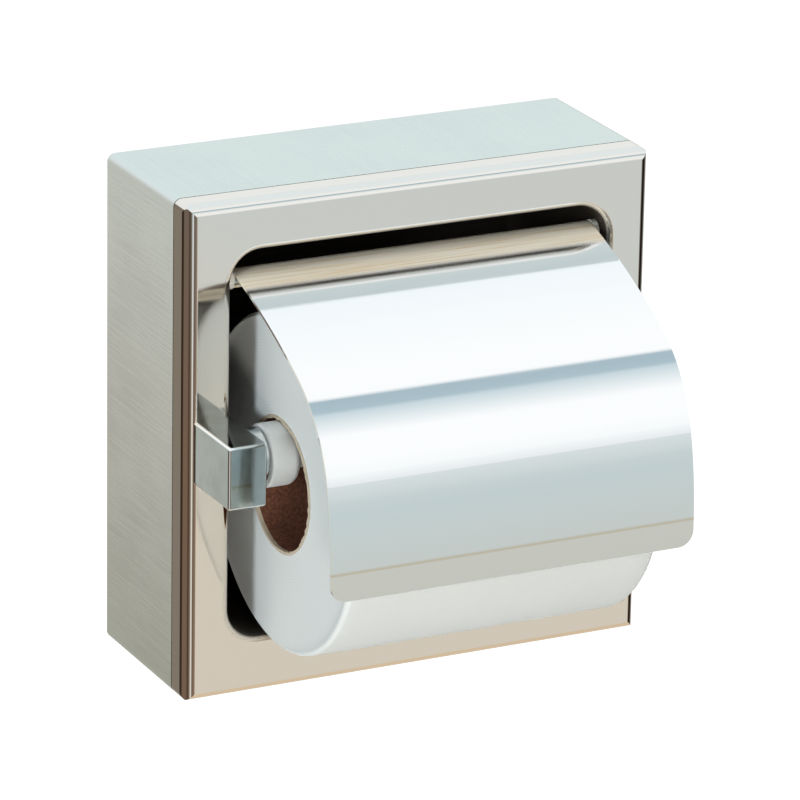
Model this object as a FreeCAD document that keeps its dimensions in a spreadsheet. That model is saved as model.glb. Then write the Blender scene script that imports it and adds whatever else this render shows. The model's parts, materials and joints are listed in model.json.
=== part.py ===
# Hooded toilet paper dispenser: surface box, recess pan, hinged hood, posts, spring roller and paper roll.
# +X is the viewer's right and +Z is up. The wall is the plane Y = 0 and the front faces -Y.
# Depths are measured from the wall towards the viewer, heights from the middle of the box.
import FreeCAD
import Part
import Sketcher
import math
import os
import re

# Driving dimensions, in millimetres and degrees
SIZES = [
    ("paper_diameter", 106.0, "full roll"),
    ("paper_width", 103.0, "width of the roll"),
    ("paper_round", 1.2, "softened edge of the roll"),
    ("paper_fit", 0.1, "radial gap between core and paper"),
    ("core_bore", 40.4, "bore of the cardboard core"),
    ("core_wall", 1.1, "wall of the cardboard core"),
    ("roll_room", 0.5, "full roll to the floor of the recess"),
    ("box_depth", 49.2, "wall to the front edge of the box"),
    ("box_gauge", 0.8, "sheet thickness of the box"),
    ("box_bend", 2.5, "outside radius of the box's four long bends"),
    ("back_lip_margin", 3.0, "lip at the wall left beyond a wall screw hole"),
    ("back_window_corner", 6.0, "corner radius of the window between those lips"),
    ("wall_hole_side", 25.5, "wall screw hole from the side of the box"),
    ("wall_hole_end", 29.0, "wall screw hole from the top or bottom of the box"),
    ("wall_hole_bore", 4.8, "bore of the wall screw holes"),
    ("pan_gauge", 0.8, "sheet thickness of the pan and flange"),
    ("flange_gap", 0.4, "gap between the box's edge and the flange's rim"),
    ("flange_depth", 10.4, "rim of the flange to its flat face"),
    ("bevel_depth", 4.5, "steep outer bevel of the flange, front to back"),
    ("bevel_width", 1.5, "that bevel, across the face of the flange"),
    ("bevel_blend", 2.5, "radius where the bevel meets the flat face"),
    ("rim_round", 1.5, "radius where the bevel meets the rim"),
    ("hollow_corner", 4.5, "corner radius inside the flange"),
    ("flange_corner", 2.5, "radius of the flange's four corners"),
    ("frame_side", 14.5, "flange beside the recess"),
    ("frame_top", 15.85, "flange above the recess"),
    ("frame_bottom", 18.65, "flange below the recess"),
    ("opening_corner", 10.0, "corner radius of the recess"),
    ("lip_radius", 2.5, "radius where the face turns into the recess"),
    ("floor_radius", 5.0, "radius where the walls meet the back of the recess"),
    ("rod_setback", 6.9, "hinge axis behind the flange's face"),
    ("rod_headroom", 9.95, "hinge axis below the ceiling of the recess"),
    ("hinge_rise", 8.4, "hinge axis above the top of a full roll"),
    ("rod_diameter", 4.0, "hinge rod"),
    ("rod_tail", 1.0, "rod left beyond each clip"),
    ("groove_depth", 0.4, "depth of the clip grooves in the rod"),
    ("clip_stand", 2.2, "how far a retaining clip stands out from the rod"),
    ("clip_gauge", 0.7, "thickness of the retaining clips"),
    ("clip_mouth", 2.6, "opening of the clips"),
    ("clip_play", 0.15, "clip to the side wall of the pan"),
    ("clip_fit", 0.05, "clip in its groove, each side"),
    ("spacer_wall", 1.12, "wall of the hinge spacers"),
    ("side_play", 0.2, "spacer to hood and to wall"),
    ("running_fit", 0.08, "radial clearance of pins and of the rod"),
    ("hinge_play", 0.15, "radial clearance of the hood's curl on the rod"),
    ("hood_side_room", 8.8, "end of the roll to the side of the hood"),
    ("hood_end_gap", 2.7, "side of the hood to the wall of the recess"),
    ("hood_gauge", 0.8, "sheet thickness of the hood"),
    ("hood_front_room", 2.5, "front of a full roll to the front of the hood"),
    ("hood_hem_drop", 17.0, "lower edge of the hood below the roll's axis"),
    ("hood_corner", 5.0, "radius of the hood's lower corners"),
    ("hood_brow_radius", 43.0, "outside radius of the main bend"),
    ("hood_front_radius", 115.0, "outside radius of the bowed front"),
    ("hood_front_angle", 14.2, "degrees turned in the bowed front"),
    ("hood_brow_angle", 46.8, "degrees turned in the main bend"),
    ("hood_top_angle", 13.3, "degrees turned in the bowed top"),
    ("hood_curl_angle", 235.0, "degrees the rear edge is rolled round the rod"),
    ("post_offset", 5.9, "middle of a post outside the wall of the recess"),
    ("post_width", 12.6, "width of a post"),
    ("post_height", 19.9, "height of a post"),
    ("post_length", 25.2, "how far a post stands off the flange"),
    ("post_edge", 0.9, "radius of a post's edges"),
    ("boss_diameter", 18.0, "round boss on the inner side of a post"),
    ("boss_length", 4.4, "how far the boss stands off the post"),
    ("boss_round", 0.8, "radius on the rim of the boss"),
    ("socket_room", 1.4, "socket beyond the tip of a pin"),
    ("screw_spread", 11.0, "two screws of a post, centre to centre"),
    ("screw_diameter", 3.0, "post screw"),
    ("screw_bite", 9.0, "length of a screw beyond the flange's face"),
    ("screw_head_diameter", 5.2, "head of a post screw"),
    ("screw_head_height", 2.0, "height of that head"),
    ("screw_room", 0.3, "radial room round a screw in the flange"),
    ("thread_fit", 0.05, "radial gap of a screw in its post"),
    ("bore_tip_room", 0.8, "hole beyond the tip of a screw"),
    ("washer_diameter", 5.5, "washer under a screw head"),
    ("washer_gauge", 0.5, "thickness of that washer"),
    ("roller_stand", 9.5, "roller axis in front of the flange's face"),
    ("shoulder_gap", 0.3, "roller shoulder to the face of a boss"),
    ("pin_diameter", 8.0, "end pins of the roller"),
    ("pin_length", 5.2, "length of the end pins"),
    ("pin_round", 1.0, "radius on the end of a pin"),
    ("hub_diameter", 19.6, "thick outer end of each half of the roller"),
    ("hub_length", 10.0, "length of that thick end"),
    ("hub_round", 3.0, "radius on the inner edge of that thick end"),
    ("plunger_diameter", 10.4, "tube of the sliding half of the roller"),
    ("plunger_wall", 1.1, "wall of that tube"),
    ("plunger_show", 34.0, "length of the sliding half outside the sleeve"),
    ("plunger_overlap", 18.0, "length of the sliding half inside the sleeve"),
    ("sleeve_wall", 1.3, "wall of the tube of the sleeve half"),
    ("slide_fit", 0.1, "radial clearance of the sliding half"),
    ("end_wall", 2.0, "closed ends of the roller"),
    ("roller_round", 0.8, "radius on the roller's shoulders"),
    ("spring_wire", 1.0, "wire of the roller spring"),
    ("spring_room", 0.6, "radial room of the spring in the sliding half"),
    ("spring_turns", 16.0, "turns of the spring"),
    ("spring_end_turns", 1.0, "closed turns at each end"),
    ("spring_end_gap", 0.6, "gap between the closed turns"),
    ("seat_gap", 0.2, "gap where the core hangs on the hubs and the spring meets its seats"),
    ("overrun", 1.0, "how far a cut runs past what it cuts"),
    ("same_place", 0.001, "points closer than this are one place"),
]

# Sizes and places worked out from the driving dimensions: depths from the wall, heights from the box's middle
WORKED_OUT = {
    "hood_width": "paper_width + 2 * hood_side_room",
    "opening_width": "hood_width + 2 * hood_end_gap",
    "box_width": "opening_width + 2 * frame_side",
    "roll_chord": "sqrt((paper_diameter / 2) ^ 2 - (roller_stand + lip_radius) ^ 2)",
    "opening_height": "roll_chord + roll_room + paper_diameter / 2 + hinge_rise + rod_headroom",
    "opening_rise": "(frame_bottom - frame_top) / 2",
    "box_height": "opening_height + frame_top + frame_bottom",
    "back_lip_side": "wall_hole_side + wall_hole_bore / 2 + back_lip_margin",
    "back_lip_end": "wall_hole_end + wall_hole_bore / 2 + back_lip_margin",
    "wall_hole_across": "box_width - 2 * wall_hole_side",
    "wall_hole_up": "box_height - 2 * wall_hole_end",
    "pan_back": "box_gauge",
    "flange_back": "box_depth + flange_gap",
    "face_depth": "flange_back + flange_depth",
    "bevel_slope": "sqrt(1 / bevel_width ^ 2 + 1 / bevel_depth ^ 2)",
    "hollow_step": "bevel_width * (1 + pan_gauge * bevel_slope - pan_gauge / bevel_depth) - pan_gauge",
    "hollow_rise": "bevel_depth * (1 + pan_gauge * bevel_slope - pan_gauge / bevel_width) - pan_gauge",
    "roll_height": "opening_rise - opening_height / 2 + roll_chord + roll_room",
    "roller_depth": "face_depth + roller_stand",
    "roller_height": "roll_height + core_bore / 2 - seat_gap - hub_diameter / 2",
    "rod_depth": "face_depth - rod_setback",
    "rod_height": "roll_height + paper_diameter / 2 + hinge_rise",
    "groove_diameter": "rod_diameter - 2 * groove_depth",
    "groove_width": "clip_gauge + 2 * clip_fit",
    "clip_diameter": "rod_diameter + 2 * clip_stand",
    "clip_inner": "opening_width / 2 + pan_gauge + clip_play",
    "spacer_bore": "rod_diameter + 2 * running_fit",
    "spacer_diameter": "spacer_bore + 2 * spacer_wall",
    "spacer_over_corner": "spacer_diameter / 2 + opening_corner - rod_headroom",
    "corner_sag": "opening_corner - sqrt(opening_corner ^ 2 - spacer_over_corner ^ 2)",
    "hood_reach": "roller_depth + paper_diameter / 2 + hood_front_room",
    "hood_hem": "roll_height - hood_hem_drop",
    "post_across": "opening_width / 2 + post_offset",
    "post_inner": "post_across - post_width / 2",
    "boss_face": "post_inner - boss_length",
    "socket_depth": "pin_length - shoulder_gap + socket_room",
    "washer_back": "face_depth - pan_gauge - washer_gauge",
    "shoulder": "boss_face - shoulder_gap",
    "pin_tip": "shoulder + pin_length",
    "end_seat": "shoulder - end_wall",
    "sleeve_mouth": "plunger_show - shoulder",
    "sleeve_bore": "plunger_diameter + 2 * slide_fit",
    "sleeve_diameter": "sleeve_bore + 2 * sleeve_wall",
    "spring_diameter": "plunger_diameter - 2 * plunger_wall - 2 * spring_room - spring_wire",
    "core_radius": "core_bore / 2 + core_wall",
}
SIDES = (("left", "-"), ("right", ""))

doc = FreeCAD.newDocument("dispenser")
sheet = doc.addObject("Spreadsheet::Sheet", "sizes")
for row, (alias, number, note) in enumerate(SIZES, start=1):
    sheet.set("A%d" % row, note)
    sheet.set("B%d" % row, "%g" % number)
    sheet.setAlias("B%d" % row, alias)
doc.recompute()
ALIASES = {alias for alias, number, note in SIZES}


def driving(text):
    """The expression with each worked-out size written in driving dimensions."""
    def spelled_out(word):
        name = word.group()
        return "(" + driving(WORKED_OUT[name]) + ")" if name in WORKED_OUT else name

    return re.sub(r"[a-z_]+", spelled_out, text)


def cells(text):
    """The expression with each size written in cells of the sheet."""
    def named_cell(word):
        name = word.group()
        return "sizes." + name if name in ALIASES else name

    return re.sub(r"[a-z_]+", named_cell, driving(text))


def size(text):
    """The present value of an expression in the sizes."""
    return float(sheet.evalExpression(driving(text)))


# Sketches
def new_body(label):
    """An empty body whose label is the piece's name."""
    body = doc.addObject("PartDesign::Body", label)
    body.Label = label
    return body


def new_sketch(body, name, role, across="0", up="0", out="0"):
    """A sketch on an origin plane, its own origin moved across, up and out along the plane's normal."""
    plane = [feature for feature in body.Origin.OriginFeatures if feature.Role == role][0]
    sketch = body.newObject("Sketcher::SketchObject", name)
    sketch.AttachmentSupport = [(plane, "")]
    sketch.MapMode = "FlatFace"
    for axis, place in (("x", across), ("y", up), ("z", out)):
        sketch.setExpression("AttachmentOffset.Base." + axis, cells(place))
    return sketch


def front_sketch(body, name, depth, across="0", up="0"):
    """A sketch seen from the front, at a depth from the wall. Its normal points at the viewer."""
    return new_sketch(body, name, "XZ_Plane", across, up, depth)


def side_sketch(body, name, across, depth, up):
    """A sketch seen from the right, its origin at a depth from the wall. Its normal is +X."""
    return new_sketch(body, name, "YZ_Plane", f"-({depth})", up, across)


def bind(sketch, constraint, expression):
    """Add a dimension to a sketch and bind it to the sheet."""
    index = sketch.addConstraint(constraint)
    sketch.setExpression("Constraints[%d]" % index, cells(expression))


def pin_point(sketch, shape, end, across, up):
    """Hold a point of a sketch at a place written in the driving dimensions."""
    for kind, axis, place in (("DistanceX", -2, across), ("DistanceY", -1, up)):
        distance = size(place)
        if distance > 0:
            bind(sketch, Sketcher.Constraint(kind, -1, 1, shape, end, distance), place)
        elif distance < 0:
            bind(sketch, Sketcher.Constraint(kind, shape, end, -1, 1, -distance), f"-({place})")
        else:
            sketch.addConstraint(Sketcher.Constraint("PointOnObject", shape, end, axis))


def draw_polygon(sketch, points):
    """A closed outline through points written in the driving dimensions."""
    places = [FreeCAD.Vector(size(across), size(up), 0) for across, up in points]
    count = len(points)
    first = sketch.GeometryCount
    for index in range(count):
        sketch.addGeometry(Part.LineSegment(places[index], places[(index + 1) % count]))
    for index in range(count):
        following = first + (index + 1) % count
        sketch.addConstraint(Sketcher.Constraint("Coincident", first + index, 2, following, 1))
    for index, (across, up) in enumerate(points):
        pin_point(sketch, first + index, 1, across, up)


def draw_rectangle(sketch, width, height):
    """A rectangle about the sketch's origin."""
    right = f"({width}) / 2"
    top = f"({height}) / 2"
    draw_polygon(sketch, [(f"-{right}", f"-{top}"), (right, f"-{top}"), (right, top), (f"-{right}", top)])


def draw_rounded_rectangle(sketch, width, height, radius):
    """A rectangle with round corners about the sketch's origin."""
    first = sketch.GeometryCount
    bend = size(radius)
    right = size(width) / 2
    top = size(height) / 2
    along = right - bend
    rise = top - bend
    normal = FreeCAD.Vector(0, 0, 1)
    sides = [((-along, -top), (along, -top)), ((right, -rise), (right, rise)),
             ((along, top), (-along, top)), ((-right, rise), (-right, -rise))]
    centres = [(along, -rise), (along, rise), (-along, rise), (-along, -rise)]
    for quarter, (start, end) in enumerate(sides):
        circle = Part.Circle(FreeCAD.Vector(*centres[quarter], 0), normal, bend)
        turned = (quarter - 1) * math.pi / 2
        sketch.addGeometry(Part.LineSegment(FreeCAD.Vector(*start, 0), FreeCAD.Vector(*end, 0)))
        sketch.addGeometry(Part.ArcOfCircle(circle, turned, turned + math.pi / 2))
    bottom, corner, right_side, top_side, left_side = (first + step for step in (0, 1, 2, 4, 6))
    for quarter in range(len(sides)):
        line = first + 2 * quarter
        arc = line + 1
        following = first + (2 * quarter + 2) % (2 * len(sides))
        sketch.addConstraint(Sketcher.Constraint("Tangent", line, 2, arc, 1))
        sketch.addConstraint(Sketcher.Constraint("Tangent", arc, 2, following, 1))
        sketch.addConstraint(Sketcher.Constraint("Vertical" if quarter % 2 else "Horizontal", line))
        if arc > corner:
            sketch.addConstraint(Sketcher.Constraint("Equal", corner, arc))
    bind(sketch, Sketcher.Constraint("Radius", corner, bend), radius)
    bind(sketch, Sketcher.Constraint("DistanceX", left_side, 1, right_side, 1, 2 * right), width)
    bind(sketch, Sketcher.Constraint("DistanceY", bottom, 1, top_side, 1, 2 * top), height)
    sketch.addConstraint(Sketcher.Constraint("Symmetric", corner, 3, corner + len(sides), 3, -1, 1))


def draw_circle(sketch, diameter, across="0", up="0"):
    """A circle at a place in the sketch."""
    middle = FreeCAD.Vector(size(across), size(up), 0)
    shape = sketch.addGeometry(Part.Circle(middle, FreeCAD.Vector(0, 0, 1), size(diameter) / 2))
    bind(sketch, Sketcher.Constraint("Diameter", shape, size(diameter)), diameter)
    pin_point(sketch, shape, 3, across, up)


# Features
def settle(body, feature):
    """Work the document out again and see that the new feature of a body came out."""
    doc.recompute()
    if "Invalid" in feature.State or "Error" in feature.State or feature.Shape.isNull():
        raise RuntimeError("%s: %s did not build" % (body.Label, feature.Label))


def add_extrusion(body, kind, sketch, length, reverse, both_ways):
    """A pad or pocket of a sketch, along its normal, against it, or both ways from the middle."""
    feature = body.newObject("PartDesign::" + kind, sketch.Name + "_" + kind.lower())
    feature.Profile = sketch
    feature.Reversed = reverse
    if both_ways:
        feature.SideType = "Symmetric"
    feature.setExpression("Length", cells(length))
    settle(body, feature)


def add_pad(body, sketch, length, reverse=False, both_ways=False):
    """Raise a sketch along its normal."""
    add_extrusion(body, "Pad", sketch, length, reverse, both_ways)


def add_pocket(body, sketch, length, reverse=False, both_ways=False):
    """Cut a sketch into the body against its normal, and see that it cuts."""
    before = body.Shape.Volume
    add_extrusion(body, "Pocket", sketch, length, reverse, both_ways)
    if not body.Shape.Volume < before:
        raise RuntimeError("%s: %s cuts nothing" % (body.Label, sketch.Label))


def add_revolution(body, sketch):
    """Turn a half section about the sketch's horizontal axis."""
    turned = body.newObject("PartDesign::Revolution", "turned")
    turned.Profile = sketch
    turned.ReferenceAxis = (sketch, ["H_Axis"])
    settle(body, turned)


def add_edge_feature(body, kind, wanted):
    """A fillet or chamfer on the edges of the body so far that a test picks, its sizes not yet set."""
    base = body.Tip
    names = ["Edge%d" % number for number, edge in enumerate(base.Shape.Edges, start=1) if wanted(edge)]
    if not names:
        raise RuntimeError("%s: no edge for a %s" % (body.Label, kind.lower()))
    feature = body.newObject("PartDesign::" + kind, kind.lower())
    feature.Base = (base, names)
    return feature


def add_fillet(body, wanted, radius):
    """Round the edges of the body so far that a test picks."""
    fillet = add_edge_feature(body, "Fillet", wanted)
    fillet.setExpression("Radius", cells(radius))
    settle(body, fillet)


def add_bevel(body, wanted, depth, width):
    """Bevel the edges of the body so far that a test picks, by a depth on the sides and a width on the face."""
    bevel = add_edge_feature(body, "Chamfer", wanted)
    bevel.ChamferType = "Two distances"
    bevel.setExpression("Size", cells(depth))
    bevel.setExpression("Size2", cells(width))
    settle(body, bevel)


def lies_at(edge, axis, place):
    """Whether an edge lies in a plane across an axis (0 is X, 1 is Y, 2 is Z)."""
    ends = (edge.FirstParameter, (edge.FirstParameter + edge.LastParameter) / 2, edge.LastParameter)
    return all(abs(edge.valueAt(end)[axis] - place) < size("same_place") for end in ends)


def within_recess(edge, wall):
    """Whether an edge, seen from the front, lies inside the recess walls thickened by an amount."""
    middle = edge.valueAt((edge.FirstParameter + edge.LastParameter) / 2)
    room = size(wall) + size("same_place")
    beside = abs(middle.x) < size("opening_width / 2") + room
    above = abs(middle.z - size("opening_rise")) < size("opening_height / 2") + room
    return beside and above


def turned_about_x(label, depth, up, points):
    """A body turned about an axis along X, from a half section of (place along X, radius) points."""
    body = new_body(label)
    section = front_sketch(body, label + "_section", depth, "0", up)
    draw_polygon(section, points)
    add_revolution(body, section)
    return body


# Surface box: folded sleeve with lips turned in at the wall
def make_surface_box():
    body = new_body("surface_box")
    outline = front_sketch(body, "box_outline", "0")
    draw_rounded_rectangle(outline, "box_width", "box_height", "box_bend")
    add_pad(body, outline, "box_depth")
    inside = front_sketch(body, "box_inside", "box_gauge")
    draw_rounded_rectangle(inside, "box_width - 2 * box_gauge", "box_height - 2 * box_gauge",
                           "box_bend - box_gauge")
    add_pocket(body, inside, "box_depth", reverse=True)
    window = front_sketch(body, "back_window", "box_gauge")
    draw_rounded_rectangle(window, "box_width - 2 * back_lip_side", "box_height - 2 * back_lip_end",
                           "back_window_corner")
    add_pocket(body, window, "box_gauge + overrun")
    cut_wall_holes(body, "2 * box_gauge", "box_gauge + overrun")
    return body


def cut_wall_holes(body, depth, length):
    """The four wall screw holes, cut back from a depth."""
    holes = front_sketch(body, "wall_holes", depth)
    for across in ("-wall_hole_across / 2", "wall_hole_across / 2"):
        for up in ("-wall_hole_up / 2", "wall_hole_up / 2"):
            draw_circle(holes, "wall_hole_bore", across, up)
    add_pocket(body, holes, f"{length} + overrun")


# Recess pan: drawn in one piece with its lip, flat face, bevelled edge and rim
def make_recess_pan():
    body = new_body("recess_pan")
    face = -size("face_depth")
    block = front_sketch(body, "flange_block", "flange_back")
    draw_rectangle(block, "box_width", "box_height")
    add_pad(body, block, "face_depth - flange_back")
    hollow = front_sketch(body, "flange_hollow", "flange_back")
    draw_rounded_rectangle(hollow, "box_width - 2 * pan_gauge", "box_height - 2 * pan_gauge", "hollow_corner")
    add_pocket(body, hollow, "face_depth - pan_gauge - flange_back", reverse=True)
    behind_face = face + size("pan_gauge")
    add_bevel(body, lambda edge: lies_at(edge, 1, behind_face), "hollow_rise", "hollow_step")
    add_fillet(body, lambda edge: lies_at(edge, 1, behind_face), "bevel_blend - pan_gauge")
    add_bevel(body, lambda edge: lies_at(edge, 1, face), "bevel_depth", "bevel_width")
    add_fillet(body, lambda edge: lies_at(edge, 1, face), "bevel_blend")
    bevel_foot = face + size("bevel_depth")
    add_fillet(body, lambda edge: lies_at(edge, 1, bevel_foot), "rim_round")
    corners = front_sketch(body, "flange_corners", "flange_back")
    draw_rectangle(corners, "box_width + 2 * overrun", "box_height + 2 * overrun")
    draw_rounded_rectangle(corners, "box_width", "box_height", "flange_corner")
    add_pocket(body, corners, "face_depth", reverse=True)
    walls = front_sketch(body, "pan_walls", "pan_back", "0", "opening_rise")
    draw_rounded_rectangle(walls, "opening_width + 2 * pan_gauge", "opening_height + 2 * pan_gauge",
                           "opening_corner + pan_gauge")
    add_pad(body, walls, "face_depth - pan_gauge - pan_back")
    recess = front_sketch(body, "recess", "face_depth", "0", "opening_rise")
    draw_rounded_rectangle(recess, "opening_width", "opening_height", "opening_corner")
    add_pocket(body, recess, "face_depth - pan_gauge - pan_back")
    back = -size("pan_back")
    floor = back - size("pan_gauge")
    add_fillet(body, lambda edge: lies_at(edge, 1, floor), "floor_radius")
    add_fillet(body, lambda edge: lies_at(edge, 1, back), "floor_radius + pan_gauge")
    add_fillet(body, lambda edge: lies_at(edge, 1, behind_face) and within_recess(edge, "pan_gauge"),
               "lip_radius - pan_gauge")
    add_fillet(body, lambda edge: lies_at(edge, 1, face) and within_recess(edge, "0"), "lip_radius")
    cut_wall_holes(body, "floor_radius", "floor_radius")
    screw_holes = front_sketch(body, "post_screw_holes", "face_depth")
    for side, sign in SIDES:
        for up in ("roller_height - screw_spread / 2", "roller_height + screw_spread / 2"):
            draw_circle(screw_holes, "screw_diameter + 2 * screw_room", f"{sign}post_across", up)
    add_pocket(body, screw_holes, "pan_gauge + overrun")
    rod_holes = side_sketch(body, "rod_holes", "0", "rod_depth", "rod_height")
    draw_circle(rod_holes, "rod_diameter + 2 * running_fit")
    add_pocket(body, rod_holes, "opening_width + 2 * pan_gauge + 2 * overrun", both_ways=True)
    return body


# Hood: one bent sheet, bowed front, main bend, bowed top and the rear edge rolled round the rod
def make_hood():
    body = new_body("hood")
    spine = side_sketch(body, "hood_bends", "0", "0", "0")
    draw_hood_bends(spine)
    hem = new_sketch(body, "hem_section", "XY_Plane", "0", "hood_gauge / 2 - hood_reach", "hood_hem")
    draw_rectangle(hem, "hood_width", "hood_gauge")
    sheet_metal = body.newObject("PartDesign::AdditivePipe", "bent_sheet")
    sheet_metal.Profile = hem
    sheet_metal.Spine = (spine, ["Edge%d" % number for number in range(1, spine.GeometryCount + 1)])
    settle(body, sheet_metal)
    hem_height = size("hood_hem")
    edge_of_hood = size("hood_width") / 2

    def at_lower_corner(edge):
        beside = lies_at(edge, 0, edge_of_hood) or lies_at(edge, 0, -edge_of_hood)
        return beside and lies_at(edge, 2, hem_height)

    add_fillet(body, at_lower_corner, "hood_corner")
    return body


def draw_hood_bends(sketch):
    """The middle of the hood's sheet from its lower edge to the end of the curl, bend after tangent bend."""
    half_gauge = "hood_gauge / 2"
    curl = f"(rod_diameter / 2 + hinge_play + {half_gauge})"
    brow = f"(hood_brow_radius - {half_gauge})"
    front = f"(hood_front_radius - {half_gauge})"
    reach = f"(hood_reach - {half_gauge})"
    front_end = math.pi / 2
    front_start = front_end - math.radians(size("hood_front_angle"))
    brow_start = front_start - math.radians(size("hood_brow_angle"))
    top_start = brow_start - math.radians(size("hood_top_angle"))
    curl_start = top_start - math.radians(size("hood_curl_angle"))
    rest = size(reach) - size("rod_depth") - size(curl) * math.sin(top_start)
    rest -= size(brow) * (math.sin(front_start) - math.sin(brow_start))
    rest -= size(front) * (math.sin(front_end) - math.sin(front_start))
    top_radius = rest / (math.sin(brow_start) - math.sin(top_start))
    rod = FreeCAD.Vector(-size("rod_depth"), size("rod_height"), 0)

    def outwards(angle):
        return FreeCAD.Vector(-math.sin(angle), math.cos(angle), 0)

    top_centre = rod + outwards(top_start) * (size(curl) - top_radius)
    brow_centre = top_centre + outwards(brow_start) * (top_radius - size(brow))
    front_centre = brow_centre + outwards(front_start) * (size(brow) - size(front))
    front_foot = front_centre + outwards(front_end) * size(front)
    hem = FreeCAD.Vector(-size(reach), size("hood_hem"), 0)
    drop = sketch.addGeometry(Part.LineSegment(hem, front_foot))
    bends = []
    for centre, radius, start, end in ((front_centre, size(front), front_start, front_end),
                                       (brow_centre, size(brow), brow_start, front_start),
                                       (top_centre, top_radius, top_start, brow_start),
                                       (rod, size(curl), curl_start, top_start)):
        circle = Part.Circle(centre, FreeCAD.Vector(0, 0, 1), radius)
        quarter = math.pi / 2
        bends.append(sketch.addGeometry(Part.ArcOfCircle(circle, quarter + start, quarter + end)))
    front_bend, brow_bend, top_bend, curl_bend = bends
    sketch.addConstraint(Sketcher.Constraint("Tangent", drop, 2, front_bend, 2))
    for outer, inner in zip(bends, bends[1:]):
        sketch.addConstraint(Sketcher.Constraint("Tangent", outer, 1, inner, 2))
    sketch.addConstraint(Sketcher.Constraint("Vertical", drop))
    pin_point(sketch, drop, 1, f"-{reach}", "hood_hem")
    pin_point(sketch, curl_bend, 3, "-rod_depth", "rod_height")
    for bend, radius in ((front_bend, front), (brow_bend, brow), (curl_bend, curl)):
        bind(sketch, Sketcher.Constraint("Radius", bend, size(radius)), radius)
    for bend, angle in ((front_bend, "hood_front_angle"), (brow_bend, "hood_brow_angle"),
                        (top_bend, "hood_top_angle"), (curl_bend, "hood_curl_angle")):
        bind(sketch, Sketcher.Constraint("Angle", bend, math.radians(size(angle))), f"{angle} * 1 deg")


# Hinge: grooved rod through the pan's side walls, spacers beside the hood, clips outside
def make_hinge_rod():
    groove_end = "(clip_inner - clip_fit + groove_width)"
    tip = f"({groove_end} + rod_tail)"
    groove = "groove_diameter / 2"
    full = "rod_diameter / 2"
    right_half = [("clip_inner - clip_fit", full), ("clip_inner - clip_fit", groove), (groove_end, groove),
                  (groove_end, full), (tip, full)]
    left_half = [(f"-({along})", radius) for along, radius in reversed(right_half)]
    points = [(f"-{tip}", "0")] + left_half + right_half + [(tip, "0")]
    return turned_about_x("hinge_rod", "rod_depth", "rod_height", points)


def make_hinge_spacer(side, sign):
    inner = f"{sign}(hood_width / 2 + side_play)"
    outer = f"{sign}(opening_width / 2 - corner_sag - side_play)"
    points = [(inner, "spacer_bore / 2"), (outer, "spacer_bore / 2"),
              (outer, "spacer_diameter / 2"), (inner, "spacer_diameter / 2")]
    return turned_about_x("hinge_spacer_" + side, "rod_depth", "rod_height", points)


def make_rod_clip(side, sign):
    body = new_body("rod_clip_" + side)
    ring = side_sketch(body, "clip_ring", f"{sign}clip_inner", "rod_depth", "rod_height")
    draw_circle(ring, "clip_diameter")
    draw_circle(ring, "groove_diameter + 2 * clip_fit")
    add_pad(body, ring, "clip_gauge", reverse=bool(sign))
    mouth = side_sketch(body, "clip_mouth", f"{sign}clip_inner", "rod_depth", "rod_height")
    draw_polygon(mouth, [("-clip_mouth / 2", "-clip_diameter"), ("clip_mouth / 2", "-clip_diameter"),
                         ("clip_mouth / 2", "0"), ("-clip_mouth / 2", "0")])
    add_pocket(body, mouth, "clip_gauge + overrun", reverse=not sign)
    return body


# Posts: chrome-plated castings with a socket boss, held by two screws from behind the flange
def make_post(side, sign):
    body = new_body("post_" + side)
    block = front_sketch(body, "post_block", "face_depth", f"{sign}post_across", "roller_height")
    draw_rectangle(block, "post_width", "post_height")
    add_pad(body, block, "post_length")
    foot = -size("face_depth")
    add_fillet(body, lambda edge: not lies_at(edge, 1, foot), "post_edge")
    boss = side_sketch(body, "boss", f"{sign}post_inner", "roller_depth", "roller_height")
    draw_circle(boss, "boss_diameter")
    add_pad(body, boss, "boss_length", reverse=not sign)
    boss_face = size(f"{sign}boss_face")
    add_fillet(body, lambda edge: lies_at(edge, 0, boss_face), "boss_round")
    socket = side_sketch(body, "socket", f"{sign}boss_face", "roller_depth", "roller_height")
    draw_circle(socket, "pin_diameter + 2 * running_fit")
    add_pocket(body, socket, "socket_depth", reverse=not sign)
    bores = front_sketch(body, "screw_bores", "face_depth", f"{sign}post_across", "roller_height")
    for up in ("-screw_spread / 2", "screw_spread / 2"):
        draw_circle(bores, "screw_diameter + 2 * thread_fit", "0", up)
    add_pocket(body, bores, "screw_bite + bore_tip_room", reverse=True)
    return body


def turned_behind_post(label, sign, up, points):
    """A body turned about a post screw's axis, from (depth from the wall, radius) points."""
    body = new_body(label)
    section = side_sketch(body, label + "_section", f"{sign}post_across", "0", f"roller_height + {up}")
    draw_polygon(section, [(f"-({depth})", radius) for depth, radius in points])
    add_revolution(body, section)
    return body


def make_post_fixings(side, sign):
    """The two screws of a post as one group, and their two washers as another."""
    screws = []
    washers = []
    shank = "screw_diameter / 2"
    head = "screw_head_diameter / 2"
    rim = "washer_diameter / 2"
    bore = f"{shank} + thread_fit"
    head_back = "washer_back - screw_head_height"
    tip = "face_depth + screw_bite"
    for level, up in (("lower", "-screw_spread / 2"), ("upper", "screw_spread / 2")):
        screw_points = [(tip, "0"), (tip, shank), ("washer_back", shank), ("washer_back", head),
                        (head_back, head), (head_back, "0")]
        washer_points = [("face_depth - pan_gauge", bore), ("face_depth - pan_gauge", rim),
                         ("washer_back", rim), ("washer_back", bore)]
        screws.append(turned_behind_post(f"{side}_{level}_screw", sign, f"({up})", screw_points))
        washers.append(turned_behind_post(f"{side}_{level}_washer", sign, f"({up})", washer_points))
    return make_group("post_screws_" + side, screws), make_group("post_washers_" + side, washers)


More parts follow.
